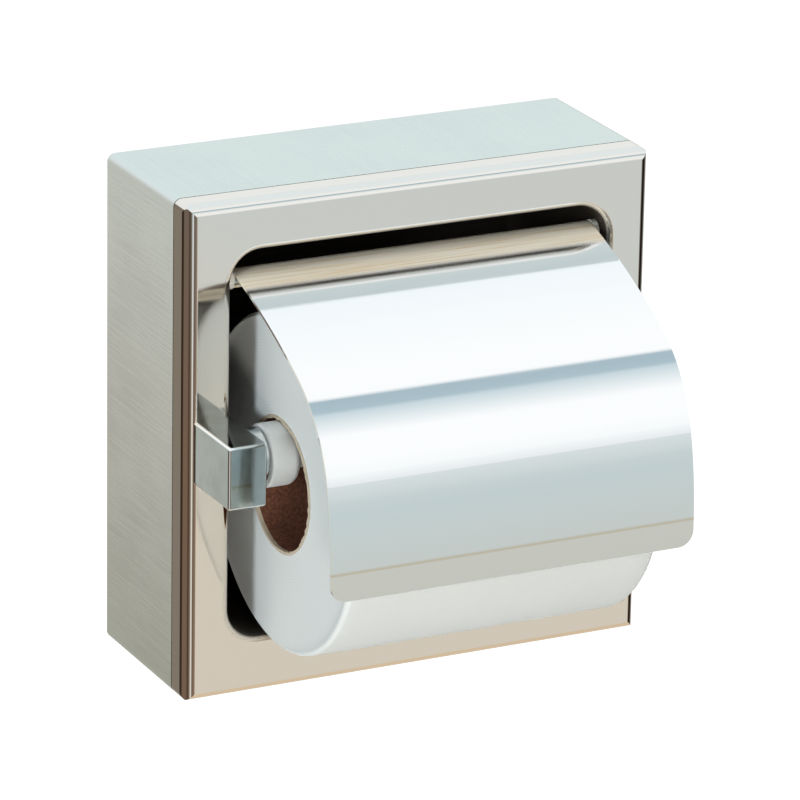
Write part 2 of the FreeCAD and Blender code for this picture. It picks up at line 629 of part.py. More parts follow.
def make_group(label, members):
    """Like fixings as one piece of separate solids."""
    group = doc.addObject("Part::Compound", label)
    group.Label = label
    group.Links = members
    doc.recompute()
    return group


# Roller: sleeve half at the right, sliding half at the left, one spring inside both
def make_roller_half(label, sign, outside, bore, inner_end):
    """One half of the roller: end pin, hub and a tube that is open at its inner end."""
    pin = "pin_diameter / 2"
    hub = "hub_diameter / 2"
    tip = f"{sign}pin_tip"
    shoulder = f"{sign}shoulder"
    hub_end = f"{sign}(shoulder - hub_length)"
    end_seat = f"{sign}end_seat"
    points = [(tip, "0"), (tip, pin), (shoulder, pin), (shoulder, hub), (hub_end, hub), (hub_end, outside),
              (inner_end, outside), (inner_end, bore), (end_seat, bore), (end_seat, "0")]
    body = turned_about_x(label, "roller_depth", "roller_height", points)

    def on_hub(edge, along):
        return lies_at(edge, 0, size(along)) and edge.Curve.Radius > size(hub) - size("same_place")

    add_fillet(body, lambda edge: lies_at(edge, 0, size(tip)), "pin_round")
    add_fillet(body, lambda edge: on_hub(edge, shoulder), "roller_round")
    add_fillet(body, lambda edge: on_hub(edge, hub_end), "hub_round")
    return body


def make_roller_sleeve():
    return make_roller_half("roller_sleeve", "", "sleeve_diameter / 2", "sleeve_bore / 2", "sleeve_mouth")


def make_roller_plunger():
    return make_roller_half("roller_plunger", "-", "plunger_diameter / 2", "plunger_diameter / 2 - plunger_wall",
                            "sleeve_mouth + plunger_overlap")


def biarc(start, start_way, end, end_way):
    """Two arcs that join two points and are tangent to a direction at each."""
    chord = end - start
    both = start_way + end_way
    turn = 2 * (1 - start_way.dot(end_way))
    along = chord.dot(both)
    reach = (math.sqrt(along * along + turn * chord.dot(chord)) - along) / turn
    joint = (start + end + (start_way - end_way) * reach) / 2
    arcs = []
    halves = ((start, start + start_way * reach, joint), (joint, end - end_way * reach, end))
    for first, corner, last in halves:
        middle = (first + last) / 2
        half_chord = (last - first).Length / 2
        rise = corner - middle
        bulge = half_chord * math.tan(math.atan2(rise.Length, half_chord) / 2)
        arcs.append(Part.Arc(first, middle + rise * (bulge / rise.Length), last).toShape())
    return arcs


def make_roller_spring():
    """The spring as one unbroken wire, its end turns closed up, on biarcs of a quarter turn."""
    wire = size("spring_wire")
    radius = size("spring_diameter") / 2
    turns = size("spring_turns")
    end_turns = size("spring_end_turns")
    span = 2 * (size("end_seat") - size("seat_gap")) - wire
    end_pitch = wire + size("spring_end_gap")
    pitch = (span - 2 * end_turns * end_pitch) / (turns - 2 * end_turns)
    axis = FreeCAD.Vector(0, -size("roller_depth"), size("roller_height"))

    def advance(turn):
        closed = min(turn, end_turns) + max(turn - (turns - end_turns), 0)
        opened = turn - closed
        return closed * end_pitch + opened * pitch - span / 2

    def place(turn):
        angle = 2 * math.pi * turn
        return axis + FreeCAD.Vector(advance(turn), radius * math.cos(angle), radius * math.sin(angle))

    def heading(turn):
        angle = 2 * math.pi * turn
        step_share = 1 / 8
        rate = (advance(min(turn + step_share, turns)) - advance(max(turn - step_share, 0)))
        rate /= min(turn + step_share, turns) - max(turn - step_share, 0)
        way = FreeCAD.Vector(rate / (2 * math.pi), -radius * math.sin(angle), radius * math.cos(angle))
        return way.normalize()

    quarters = [quarter / 4 for quarter in range(round(4 * turns) + 1)]
    path = []
    for start, end in zip(quarters, quarters[1:]):
        path.extend(biarc(place(start), heading(start), place(end), heading(end)))
    section = Part.Wire(Part.Circle(place(0), heading(0), wire / 2).toShape())
    spring = doc.addObject("Part::Feature", "roller_spring")
    spring.Label = "roller_spring"
    spring.Shape = Part.Wire(path).makePipeShell([section], True, False)
    samples = [place(step / 24) for step in range(round(24 * turns) + 1)]
    least = min((samples[low] - samples[high]).Length for low in range(len(samples))
                for high in range(low + 12, len(samples)))
    print("roller_spring least gap to itself: %.2f mm" % (least - wire))
    return spring


# Paper: cardboard core hanging on the roller's hubs, and the wound paper on it
def make_cardboard_core():
    points = [("-paper_width / 2", "core_bore / 2"), ("paper_width / 2", "core_bore / 2"),
              ("paper_width / 2", "core_radius"), ("-paper_width / 2", "core_radius")]
    return turned_about_x("cardboard_core", "roller_depth", "roll_height", points)


def make_paper_roll():
    bore = "core_radius + paper_fit"
    outside = "paper_diameter / 2"
    points = [("-paper_width / 2", bore), ("paper_width / 2", bore), ("paper_width / 2", outside),
              ("-paper_width / 2", outside)]
    body = turned_about_x("paper_roll", "roller_depth", "roll_height", points)
    rim = size(outside) - size("same_place")
    add_fillet(body, lambda edge: edge.Curve.TypeId == "Part::GeomCircle" and edge.Curve.Radius > rim,
               "paper_round")
    return body


pieces = [make_surface_box(), make_recess_pan(), make_hood(), make_hinge_rod()]
for side, sign in SIDES:
    pieces.append(make_hinge_spacer(side, sign))
    pieces.append(make_rod_clip(side, sign))
    pieces.append(make_post(side, sign))
    pieces.extend(make_post_fixings(side, sign))
pieces += [make_roller_sleeve(), make_roller_plunger(), make_roller_spring()]
pieces += [make_cardboard_core(), make_paper_roll()]

doc.recompute()
for thing in doc.Objects:
    if "Invalid" in thing.State or "Error" in thing.State:
        raise RuntimeError("%s did not build" % thing.Label)
for piece in pieces:
    if piece.Shape.isNull() or not piece.Shape.isValid() or piece.Shape.Volume <= 0:
        raise RuntimeError("%s has no valid solid" % piece.Label)
os.makedirs("parts", exist_ok=True)
for piece in pieces:
    piece.Shape.exportStep("parts/%s.step" % piece.Label)
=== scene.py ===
"""Hooded toilet paper dispenser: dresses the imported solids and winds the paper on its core."""

import json
import logging
import math
import random
from collections.abc import Callable
from dataclasses import dataclass, field
from enum import Enum

import bpy
from mathutils import Matrix, Vector

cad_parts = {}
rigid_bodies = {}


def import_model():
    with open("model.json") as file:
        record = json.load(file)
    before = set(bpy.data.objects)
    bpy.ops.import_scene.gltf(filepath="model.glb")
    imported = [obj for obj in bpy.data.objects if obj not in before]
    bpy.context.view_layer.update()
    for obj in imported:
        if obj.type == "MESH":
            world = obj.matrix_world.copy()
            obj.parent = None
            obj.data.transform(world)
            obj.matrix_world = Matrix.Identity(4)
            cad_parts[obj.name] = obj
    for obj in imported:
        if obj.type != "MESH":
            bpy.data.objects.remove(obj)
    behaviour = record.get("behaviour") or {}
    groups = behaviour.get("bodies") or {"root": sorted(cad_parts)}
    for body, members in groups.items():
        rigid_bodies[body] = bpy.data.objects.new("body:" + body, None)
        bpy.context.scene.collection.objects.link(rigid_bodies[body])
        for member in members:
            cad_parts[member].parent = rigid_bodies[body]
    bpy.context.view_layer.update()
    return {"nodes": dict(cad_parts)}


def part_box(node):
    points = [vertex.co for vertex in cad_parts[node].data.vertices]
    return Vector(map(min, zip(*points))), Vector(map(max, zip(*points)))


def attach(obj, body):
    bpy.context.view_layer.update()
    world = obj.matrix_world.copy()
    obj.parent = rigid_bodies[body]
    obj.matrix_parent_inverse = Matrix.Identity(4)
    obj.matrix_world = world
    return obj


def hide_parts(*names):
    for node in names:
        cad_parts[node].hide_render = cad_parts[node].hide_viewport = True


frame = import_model()

log = logging.getLogger("dispenser")
MM = 0.001
# a mix node repeats its sockets' names, so they go by number
COLOUR_A = 6
COLOUR_B = 7
COLOUR_MIXED = 2
NUMBER_A = 2
NUMBER_B = 3
NUMBER_MIXED = 0
# Blender's wave texture turns by 20 radians over one unit
WAVE_SCALE = math.tau / 20


class Grain(Enum):
    """The way that a sheet was rolled or brushed, by the axis that its lines follow."""

    ALONG_X = 0
    ALONG_Y = 1


class End(Enum):
    """The two ends of the roll, by the way that they face along X."""

    LEFT = -1
    RIGHT = 1


def linear(colour: str) -> tuple[float, float, float, float]:
    """Turn an sRGB hex colour to linear light.

    Args:
        colour: six hex digits after a hash sign.

    Returns:
        Red, green, blue and an alpha of one.
    """
    parts = [int(colour[start : start + 2], 16) / 255 for start in (1, 3, 5)]
    light = [p / 12.92 if p <= 0.04045 else ((p + 0.055) / 1.055) ** 2.4 for p in parts]
    return (*light, 1.0)


def add_node(
    tree: bpy.types.NodeTree, kind: str, inputs: dict | None = None, **settings: object
) -> bpy.types.Node:
    """Add a node with its settings, socket values and links.

    Args:
        tree: the node tree that gets it.
        kind: the node's type name.
        inputs: socket name or number to a value, or to the output socket that is linked to it.
        settings: the node's own properties.

    Returns:
        The new node.
    """
    node = tree.nodes.new(kind)
    for name, value in settings.items():
        setattr(node, name, value)
    for name, value in (inputs or {}).items():
        if isinstance(value, bpy.types.NodeSocket):
            tree.links.new(value, node.inputs[name])
        else:
            node.inputs[name].default_value = value
    return node


def set_stops(ramp: bpy.types.Node, stops: tuple[tuple[float, str], ...]) -> None:
    """Give a colour ramp its stops.

    Args:
        ramp: the colour ramp node.
        stops: place from 0 to 1 and hex colour, in order.
    """
    elements = ramp.color_ramp.elements
    while len(elements) < len(stops):
        elements.new(1.0)
    for element, (place, colour) in zip(elements, stops):
        element.position = place
        element.color = linear(colour)


def start_material(name: str) -> tuple[bpy.types.Material, bpy.types.Node]:
    """Make a material with nothing but a principled shader on its output.

    Args:
        name: what the real material is.

    Returns:
        The material and its shader node.
    """
    material = bpy.data.materials.new(name)
    material.use_nodes = True
    tree = material.node_tree
    tree.nodes.clear()
    shader = add_node(tree, "ShaderNodeBsdfPrincipled")
    add_node(tree, "ShaderNodeOutputMaterial", {"Surface": shader.outputs["BSDF"]})
    return material, shader


def bearing(azimuth: float, elevation: float) -> Vector:
    """Point from the object to where something stands round it.

    Args:
        azimuth: the angle from the front towards the viewer's right, in radians.
        elevation: the angle above level, in radians.

    Returns:
        A vector of length one.
    """
    level = math.cos(elevation)
    return Vector((math.sin(azimuth) * level, -math.cos(azimuth) * level, math.sin(elevation)))


def dress(node_name: str, material: bpy.types.Material) -> None:
    """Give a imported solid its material.

    Args:
        node_name: the solid's name.
        material: the finished material.
    """
    mesh = frame["nodes"][node_name].data
    mesh.materials.clear()
    mesh.materials.append(material)
    log.info("dressed %s in %s", node_name, material.name)


# finishes


@dataclass(frozen=True)
class DullZone:
    """The middle stretch of a sheet, from a depth towards the wall: rougher, less metallic and streaky,
    with painted colours: dark shade in the pan's recess, a warm reflection on the hood's strip.
    """

    start_mm: float
    fade_mm: float
    reach_mm: float
    colour: str
    streak: str
    roughness: float
    metallic: float
    streak_level: float = 0.36
    colour_level: float = 0.52


@dataclass(frozen=True)
class SheetSteel:
    """Stainless sheet: rolled, then brushed or polished, so it mirrors with fine lines and slight waves.

    Its tones are painted reflection and shade by height in millimetres, warmer near the ground, and may
    lean to one side.
    The lines are drawn several times as wide as real ones, which would be too fine to show.
    """

    name: str
    tones: tuple[tuple[float, str], ...]
    roughness: float
    grain: Grain
    line_mm: float
    line_depth_mm: float
    wave_mm: float
    wave_depth_mm: float
    unevenness: float
    line_stretch: float = 60.0
    smear_mm: float = 34.0
    wear_low: float = 0.12
    wear_high: float = 0.42
    lean: float = 0.0
    side_mm: float = 100.0
    painted_side_reflection: str = "#ffffff"
    dull: DullZone | None = None

    def painted_reflection(self, tree: bpy.types.NodeTree, parts: bpy.types.Node) -> bpy.types.NodeSocket:
        """Paint reflection and shade into the sheet by height, and a painted reflection colour beyond a
        distance to either side.

        Args:
            tree: the material's node tree.
            parts: the node that holds the separate Object coordinates.

        Returns:
            The colour.
        """
        height = add_node(
            tree,
            "ShaderNodeMath",
            {0: parts.outputs["X"], 1: self.lean, 2: parts.outputs["Z"]},
            operation="MULTIPLY_ADD",
        )
        # the height ramp paints in reflection and shade
        low, high = self.tones[0][0], self.tones[-1][0]
        share = add_node(
            tree,
            "ShaderNodeMapRange",
            {"Value": height.outputs["Value"], "From Min": low * MM, "From Max": high * MM},
        )
        ramp = add_node(tree, "ShaderNodeValToRGB", {"Fac": share.outputs["Result"]})
        set_stops(ramp, tuple(((level - low) / (high - low), colour) for level, colour in self.tones))
        # beyond a distance to either side, a painted reflection colour takes over
        sideways = add_node(tree, "ShaderNodeMath", {0: parts.outputs["X"]}, operation="ABSOLUTE")
        beyond = add_node(
            tree,
            "ShaderNodeMath",
            {0: sideways.outputs["Value"], 1: self.side_mm * MM},
            operation="GREATER_THAN",
        )
        edged = add_node(
            tree,
            "ShaderNodeMix",
            {
                "Factor": beyond.outputs["Value"],
                COLOUR_A: ramp.outputs["Color"],
                COLOUR_B: linear(self.painted_side_reflection),
            },
            data_type="RGBA",
        )
        return edged.outputs[COLOUR_MIXED]

    def dulled(
        self, shader: bpy.types.Node, parts: bpy.types.Node, lines: bpy.types.NodeSocket
    ) -> None:
        """Mix the dull stretch's painted colours, roughness and metal into the shader's.

        Args:
            shader: the principled shader, with its polished colour and roughness linked.
            parts: the node that holds the separate Object coordinates.
            lines: the pattern of drawn lines.
        """
        tree = shader.id_data
        start = self.dull.start_mm * MM
        end = start + self.dull.fade_mm * MM
        deep = add_node(
            tree,
            "ShaderNodeMapRange",
            {"Value": parts.outputs["Y"], "From Min": start, "From Max": end},
            interpolation_type="SMOOTHSTEP",
        )
        sideways, upwards = (
            add_node(tree, "ShaderNodeMath", {0: parts.outputs[axis]}, operation="ABSOLUTE")
            for axis in "XZ"
        )
        outwards = add_node(
            tree,
            "ShaderNodeMath",
            {0: sideways.outputs["Value"], 1: upwards.outputs["Value"]},
            operation="MAXIMUM",
        )
        central = add_node(
            tree,
            "ShaderNodeMath",
            {0: outwards.outputs["Value"], 1: self.dull.reach_mm * MM},
            operation="LESS_THAN",
        )
        inside = add_node(
            tree,
            "ShaderNodeMath",
            {0: deep.outputs["Result"], 1: central.outputs["Value"]},
            operation="MULTIPLY",
        ).outputs["Value"]
        # the stretch's colours are painted: dark shade in the pan's recess, a warm reflection on the hood's
        # strip
        painted_zone_tones = add_node(tree, "ShaderNodeValToRGB", {"Fac": lines})
        streaks = (self.dull.streak_level, self.dull.streak)
        set_stops(painted_zone_tones, (streaks, (self.dull.colour_level, self.dull.colour)))
        polished_colour = shader.inputs["Base Color"].links[0].from_socket
        polished_roughness = shader.inputs["Roughness"].links[0].from_socket
        colour = add_node(
            tree,
            "ShaderNodeMix",
            {"Factor": inside, COLOUR_A: polished_colour, COLOUR_B: painted_zone_tones.outputs["Color"]},
            data_type="RGBA",
        )
        gloss = add_node(
            tree,
            "ShaderNodeMix",
            {"Factor": inside, NUMBER_A: polished_roughness, NUMBER_B: self.dull.roughness},
        )
        metal = add_node(
            tree, "ShaderNodeMix", {"Factor": inside, NUMBER_A: 1.0, NUMBER_B: self.dull.metallic}
        )
        tree.links.new(colour.outputs[COLOUR_MIXED], shader.inputs["Base Color"])
        tree.links.new(gloss.outputs[NUMBER_MIXED], shader.inputs["Roughness"])
        tree.links.new(metal.outputs[NUMBER_MIXED], shader.inputs["Metallic"])

    def material(self) -> bpy.types.Material:
        """Build the material.

        Returns:
            Metal with drawn lines, sheet waves and an uneven polish.
        """
        material, shader = start_material(self.name)
        tree = material.node_tree
        place = add_node(tree, "ShaderNodeTexCoord").outputs["Object"]
        scale = [1 / (self.line_mm * MM)] * 3
        scale[self.grain.value] /= self.line_stretch
        along = add_node(tree, "ShaderNodeMapping", {"Vector": place, "Scale": scale})
        lines = add_node(
            tree, "ShaderNodeTexNoise", {"Vector": along.outputs["Vector"], "Scale": 1.0, "Detail": 3.0}
        ).outputs["Fac"]
        waves = add_node(
            tree, "ShaderNodeTexNoise", {"Vector": place, "Scale": 1 / (self.wave_mm * MM), "Detail": 0.0}
        )
        smears = add_node(
            tree, "ShaderNodeTexNoise", {"Vector": place, "Scale": 1 / (self.smear_mm * MM), "Detail": 5.0}
        )
        wear = add_node(tree, "ShaderNodeMath", {0: lines, 1: smears.outputs["Fac"]}, operation="MULTIPLY")
        polish = add_node(
            tree,
            "ShaderNodeMapRange",
            {
                "Value": wear.outputs["Value"],
                "From Min": self.wear_low,
                "From Max": self.wear_high,
                "To Min": self.roughness * (1 - self.unevenness),
                "To Max": self.roughness * (1 + self.unevenness),
            },
        )
        swell = add_node(
            tree, "ShaderNodeBump", {"Height": waves.outputs["Fac"], "Distance": self.wave_depth_mm * MM}
        )
        scratch = add_node(
            tree,
            "ShaderNodeBump",
            {"Height": lines, "Distance": self.line_depth_mm * MM, "Normal": swell.outputs["Normal"]},
        )
        parts = add_node(tree, "ShaderNodeSeparateXYZ", {"Vector": place})
        shader.inputs["Metallic"].default_value = 1.0
        tree.links.new(self.painted_reflection(tree, parts), shader.inputs["Base Color"])
        tree.links.new(polish.outputs["Result"], shader.inputs["Roughness"])
        tree.links.new(scratch.outputs["Normal"], shader.inputs["Normal"])
        if self.dull:
            self.dulled(shader, parts, lines)
        return material


@dataclass(frozen=True)
class PlatedMetal:
    """Plated metal: a thin coat whose gloss follows the metal under it, with a painted highlight on rounded
    edges.

    The pits are drawn coarser than real ones, which would be too fine to show.
    """

    name: str
    colour: str
    shade: str
    # edge: the colour of a painted highlight on rounded edges
    edge: str
    roughness: float
    pit_mm: float
    pit_depth_mm: float
    cloud_mm: float = 9.0
    shade_level: float = 0.35
    colour_level: float = 0.6
    gloss_low: float = 0.3
    gloss_high: float = 0.7
    smoothest: float = 0.7
    roughest: float = 1.4
    edge_end: float = 0.93
    edge_start: float = 0.985

    def material(self) -> bpy.types.Material:
        """Build the material.

        Returns:
            Metal with fine pits, clouded colour and gloss, and painted highlights on rounded edges.
        """
        material, shader = start_material(self.name)
        tree = material.node_tree
        place = add_node(tree, "ShaderNodeTexCoord").outputs["Object"]
        pits = add_node(
            tree, "ShaderNodeTexNoise", {"Vector": place, "Scale": 1 / (self.pit_mm * MM), "Detail": 1.0}
        )
        clouds = add_node(
            tree, "ShaderNodeTexNoise", {"Vector": place, "Scale": 1 / (self.cloud_mm * MM), "Detail": 4.0}
        )
        tones = add_node(tree, "ShaderNodeValToRGB", {"Fac": clouds.outputs["Fac"]})
        set_stops(tones, ((self.shade_level, self.shade), (self.colour_level, self.colour)))
        facing = add_node(tree, "ShaderNodeTexCoord").outputs["Normal"]
        turned = add_node(tree, "ShaderNodeVectorMath", {0: facing}, operation="ABSOLUTE")
        ways = add_node(tree, "ShaderNodeSeparateXYZ", {"Vector": turned.outputs["Vector"]})
        level = add_node(
            tree, "ShaderNodeMath", {0: ways.outputs["X"], 1: ways.outputs["Y"]}, operation="MAXIMUM"
        )
        square = add_node(
            tree, "ShaderNodeMath", {0: level.outputs["Value"], 1: ways.outputs["Z"]}, operation="MAXIMUM"
        )
        flat = add_node(
            tree,
            "ShaderNodeMapRange",
            {"Value": square.outputs["Value"], "From Min": self.edge_end, "From Max": self.edge_start},
        )
        # rounded edges, where the normal leans off every axis, get a painted highlight
        painted_edge_highlight = add_node(
            tree,
            "ShaderNodeMix",
            {
                "Factor": flat.outputs["Result"],
                COLOUR_A: linear(self.edge),
                COLOUR_B: tones.outputs["Color"],
            },
            data_type="RGBA",
        )
        gloss = add_node(
            tree,
            "ShaderNodeMapRange",
            {
                "Value": clouds.outputs["Fac"],
                "From Min": self.gloss_low,
                "From Max": self.gloss_high,
                "To Min": self.roughness * self.smoothest,
                "To Max": self.roughness * self.roughest,
            },
        )
        bump = add_node(
            tree, "ShaderNodeBump", {"Height": pits.outputs["Fac"], "Distance": self.pit_depth_mm * MM}
        )
        shader.inputs["Metallic"].default_value = 1.0
        tree.links.new(painted_edge_highlight.outputs[COLOUR_MIXED], shader.inputs["Base Color"])
        tree.links.new(gloss.outputs["Result"], shader.inputs["Roughness"])
        tree.links.new(bump.outputs["Normal"], shader.inputs["Normal"])
        return material


@dataclass(frozen=True)
class MouldedPlastic:
    """Moulded plastic: a spark-eroded mould leaves a fine even grain, and handling dulls it in clouds.

    The grain is drawn coarser than a real mould's, which would be too fine to show.
    """

    name: str
    colour: str
    shade: str
    roughness: float
    ior: float
    grain_mm: float
    grain_depth_mm: float
    cloud_mm: float = 14.0
    shade_level: float = 0.3
    colour_level: float = 0.55
    smoothest: float = 0.7
    roughest: float = 1.3

    def material(self) -> bpy.types.Material:
        """Build the material.

        Returns:
            Plastic with mould grain and faint clouds of handling.
        """
        material, shader = start_material(self.name)
        tree = material.node_tree
        place = add_node(tree, "ShaderNodeTexCoord").outputs["Object"]
        grain = add_node(
            tree, "ShaderNodeTexNoise", {"Vector": place, "Scale": 1 / (self.grain_mm * MM), "Detail": 2.0}
        )
        clouds = add_node(
            tree, "ShaderNodeTexNoise", {"Vector": place, "Scale": 1 / (self.cloud_mm * MM), "Detail": 4.0}
        )
        tones = add_node(tree, "ShaderNodeValToRGB", {"Fac": clouds.outputs["Fac"]})
        set_stops(tones, ((self.shade_level, self.shade), (self.colour_level, self.colour)))
        gloss = add_node(
            tree,
            "ShaderNodeMapRange",
            {
                "Value": clouds.outputs["Fac"],
                "To Min": self.roughness * self.roughest,
                "To Max": self.roughness * self.smoothest,
            },
        )
        bump = add_node(
            tree, "ShaderNodeBump", {"Height": grain.outputs["Fac"], "Distance": self.grain_depth_mm * MM}
        )
        shader.inputs["IOR"].default_value = self.ior
        tree.links.new(tones.outputs["Color"], shader.inputs["Base Color"])
        tree.links.new(gloss.outputs["Result"], shader.inputs["Roughness"])
        tree.links.new(bump.outputs["Normal"], shader.inputs["Normal"])
        return material


@dataclass(frozen=True)
class Chipboard:
    """Core board: brown recycled fibre wound in a spiral, with a visible seam and darker specks.

    The fibres are drawn coarser than real ones, which would be too fine to show.
    """

    name: str
    colour: str
    shade: str
    speck: str
    rim: str
    seam_pitch_mm: float
    fibre_mm: float = 0.9
    fibre_depth_mm: float = 0.05
    speck_mm: float = 0.8
    rim_mm: float = 1.1
    shade_level: float = 0.32
    colour_level: float = 0.62
    speck_inside: float = 0.06
    speck_outside: float = 0.16
    seam_share: float = 0.03
    roughness: float = 0.92
    specular: float = 0.2

    def material(self, centre: Vector, length: float) -> bpy.types.Material:
        """Build the material.

        Args:
            centre: the middle of the tube, in metres.
            length: the tube's length, in metres.

        Returns:
            Dull board with fibres, specks, the spiral seam and paler ends.
        """
        material, shader = start_material(self.name)
        tree = material.node_tree
        place = add_node(tree, "ShaderNodeTexCoord").outputs["Object"]
        middle = add_node(
            tree, "ShaderNodeMapping", {"Vector": place, "Location": [-c for c in centre]}
        ).outputs["Vector"]
        fibres = add_node(
            tree, "ShaderNodeTexNoise", {"Vector": middle, "Scale": 1 / (self.fibre_mm * MM), "Detail": 6.0}
        )
        tones = add_node(tree, "ShaderNodeValToRGB", {"Fac": fibres.outputs["Fac"]})
        set_stops(tones, ((self.shade_level, self.shade), (self.colour_level, self.colour)))
        specks = add_node(
            tree, "ShaderNodeTexVoronoi", {"Vector": middle, "Scale": 1 / (self.speck_mm * MM)}
        )
        dots = add_node(
            tree,
            "ShaderNodeMapRange",
            {
                "Value": specks.outputs["Distance"],
                "From Min": self.speck_inside,
                "From Max": self.speck_outside,
            },
        )
        flecked = add_node(
            tree,
            "ShaderNodeMix",
            {
                "Factor": dots.outputs["Result"],
                COLOUR_A: linear(self.speck),
                COLOUR_B: tones.outputs["Color"],
            },
            data_type="RGBA",
        )
        parts = add_node(tree, "ShaderNodeSeparateXYZ", {"Vector": middle})
        turn = add_node(
            tree, "ShaderNodeMath", {0: parts.outputs["Z"], 1: parts.outputs["Y"]}, operation="ARCTAN2"
        )
        turns = add_node(
            tree, "ShaderNodeMath", {0: turn.outputs["Value"], 1: math.tau}, operation="DIVIDE"
        )
        steps = add_node(
            tree,
            "ShaderNodeMath",
            {0: parts.outputs["X"], 1: 1 / (self.seam_pitch_mm * MM), 2: turns.outputs["Value"]},
            operation="MULTIPLY_ADD",
        )
        seam = add_node(tree, "ShaderNodeMath", {0: steps.outputs["Value"]}, operation="FRACT")
        groove = add_node(
            tree, "ShaderNodeMapRange", {"Value": seam.outputs["Value"], "From Max": self.seam_share}
        )
        shaded = add_node(
            tree,
            "ShaderNodeMix",
            {
                "Factor": groove.outputs["Result"],
                COLOUR_A: linear(self.shade),
                COLOUR_B: flecked.outputs[COLOUR_MIXED],
            },
            data_type="RGBA",
        )
        height = add_node(
            tree,
            "ShaderNodeMath",
            {0: groove.outputs["Result"], 1: fibres.outputs["Fac"]},
            operation="ADD",
        )
        bump = add_node(
            tree,
            "ShaderNodeBump",
            {"Height": height.outputs["Value"], "Distance": self.fibre_depth_mm * MM},
        )
        shader.inputs["Roughness"].default_value = self.roughness
        shader.inputs["Specular IOR Level"].default_value = self.specular
        along = add_node(tree, "ShaderNodeMath", {0: parts.outputs["X"]}, operation="ABSOLUTE")
        cut_start = length / 2 - self.rim_mm * MM
        at_cut = add_node(
            tree, "ShaderNodeMath", {0: along.outputs["Value"], 1: cut_start}, operation="GREATER_THAN"
        )
        ended = add_node(
            tree,
            "ShaderNodeMix",
            {
                "Factor": at_cut.outputs["Value"],
                COLOUR_A: shaded.outputs[COLOUR_MIXED],
                COLOUR_B: linear(self.rim),
            },
            data_type="RGBA",
        )
        tree.links.new(ended.outputs[COLOUR_MIXED], shader.inputs["Base Color"])
        tree.links.new(bump.outputs["Normal"], shader.inputs["Normal"])
        return material


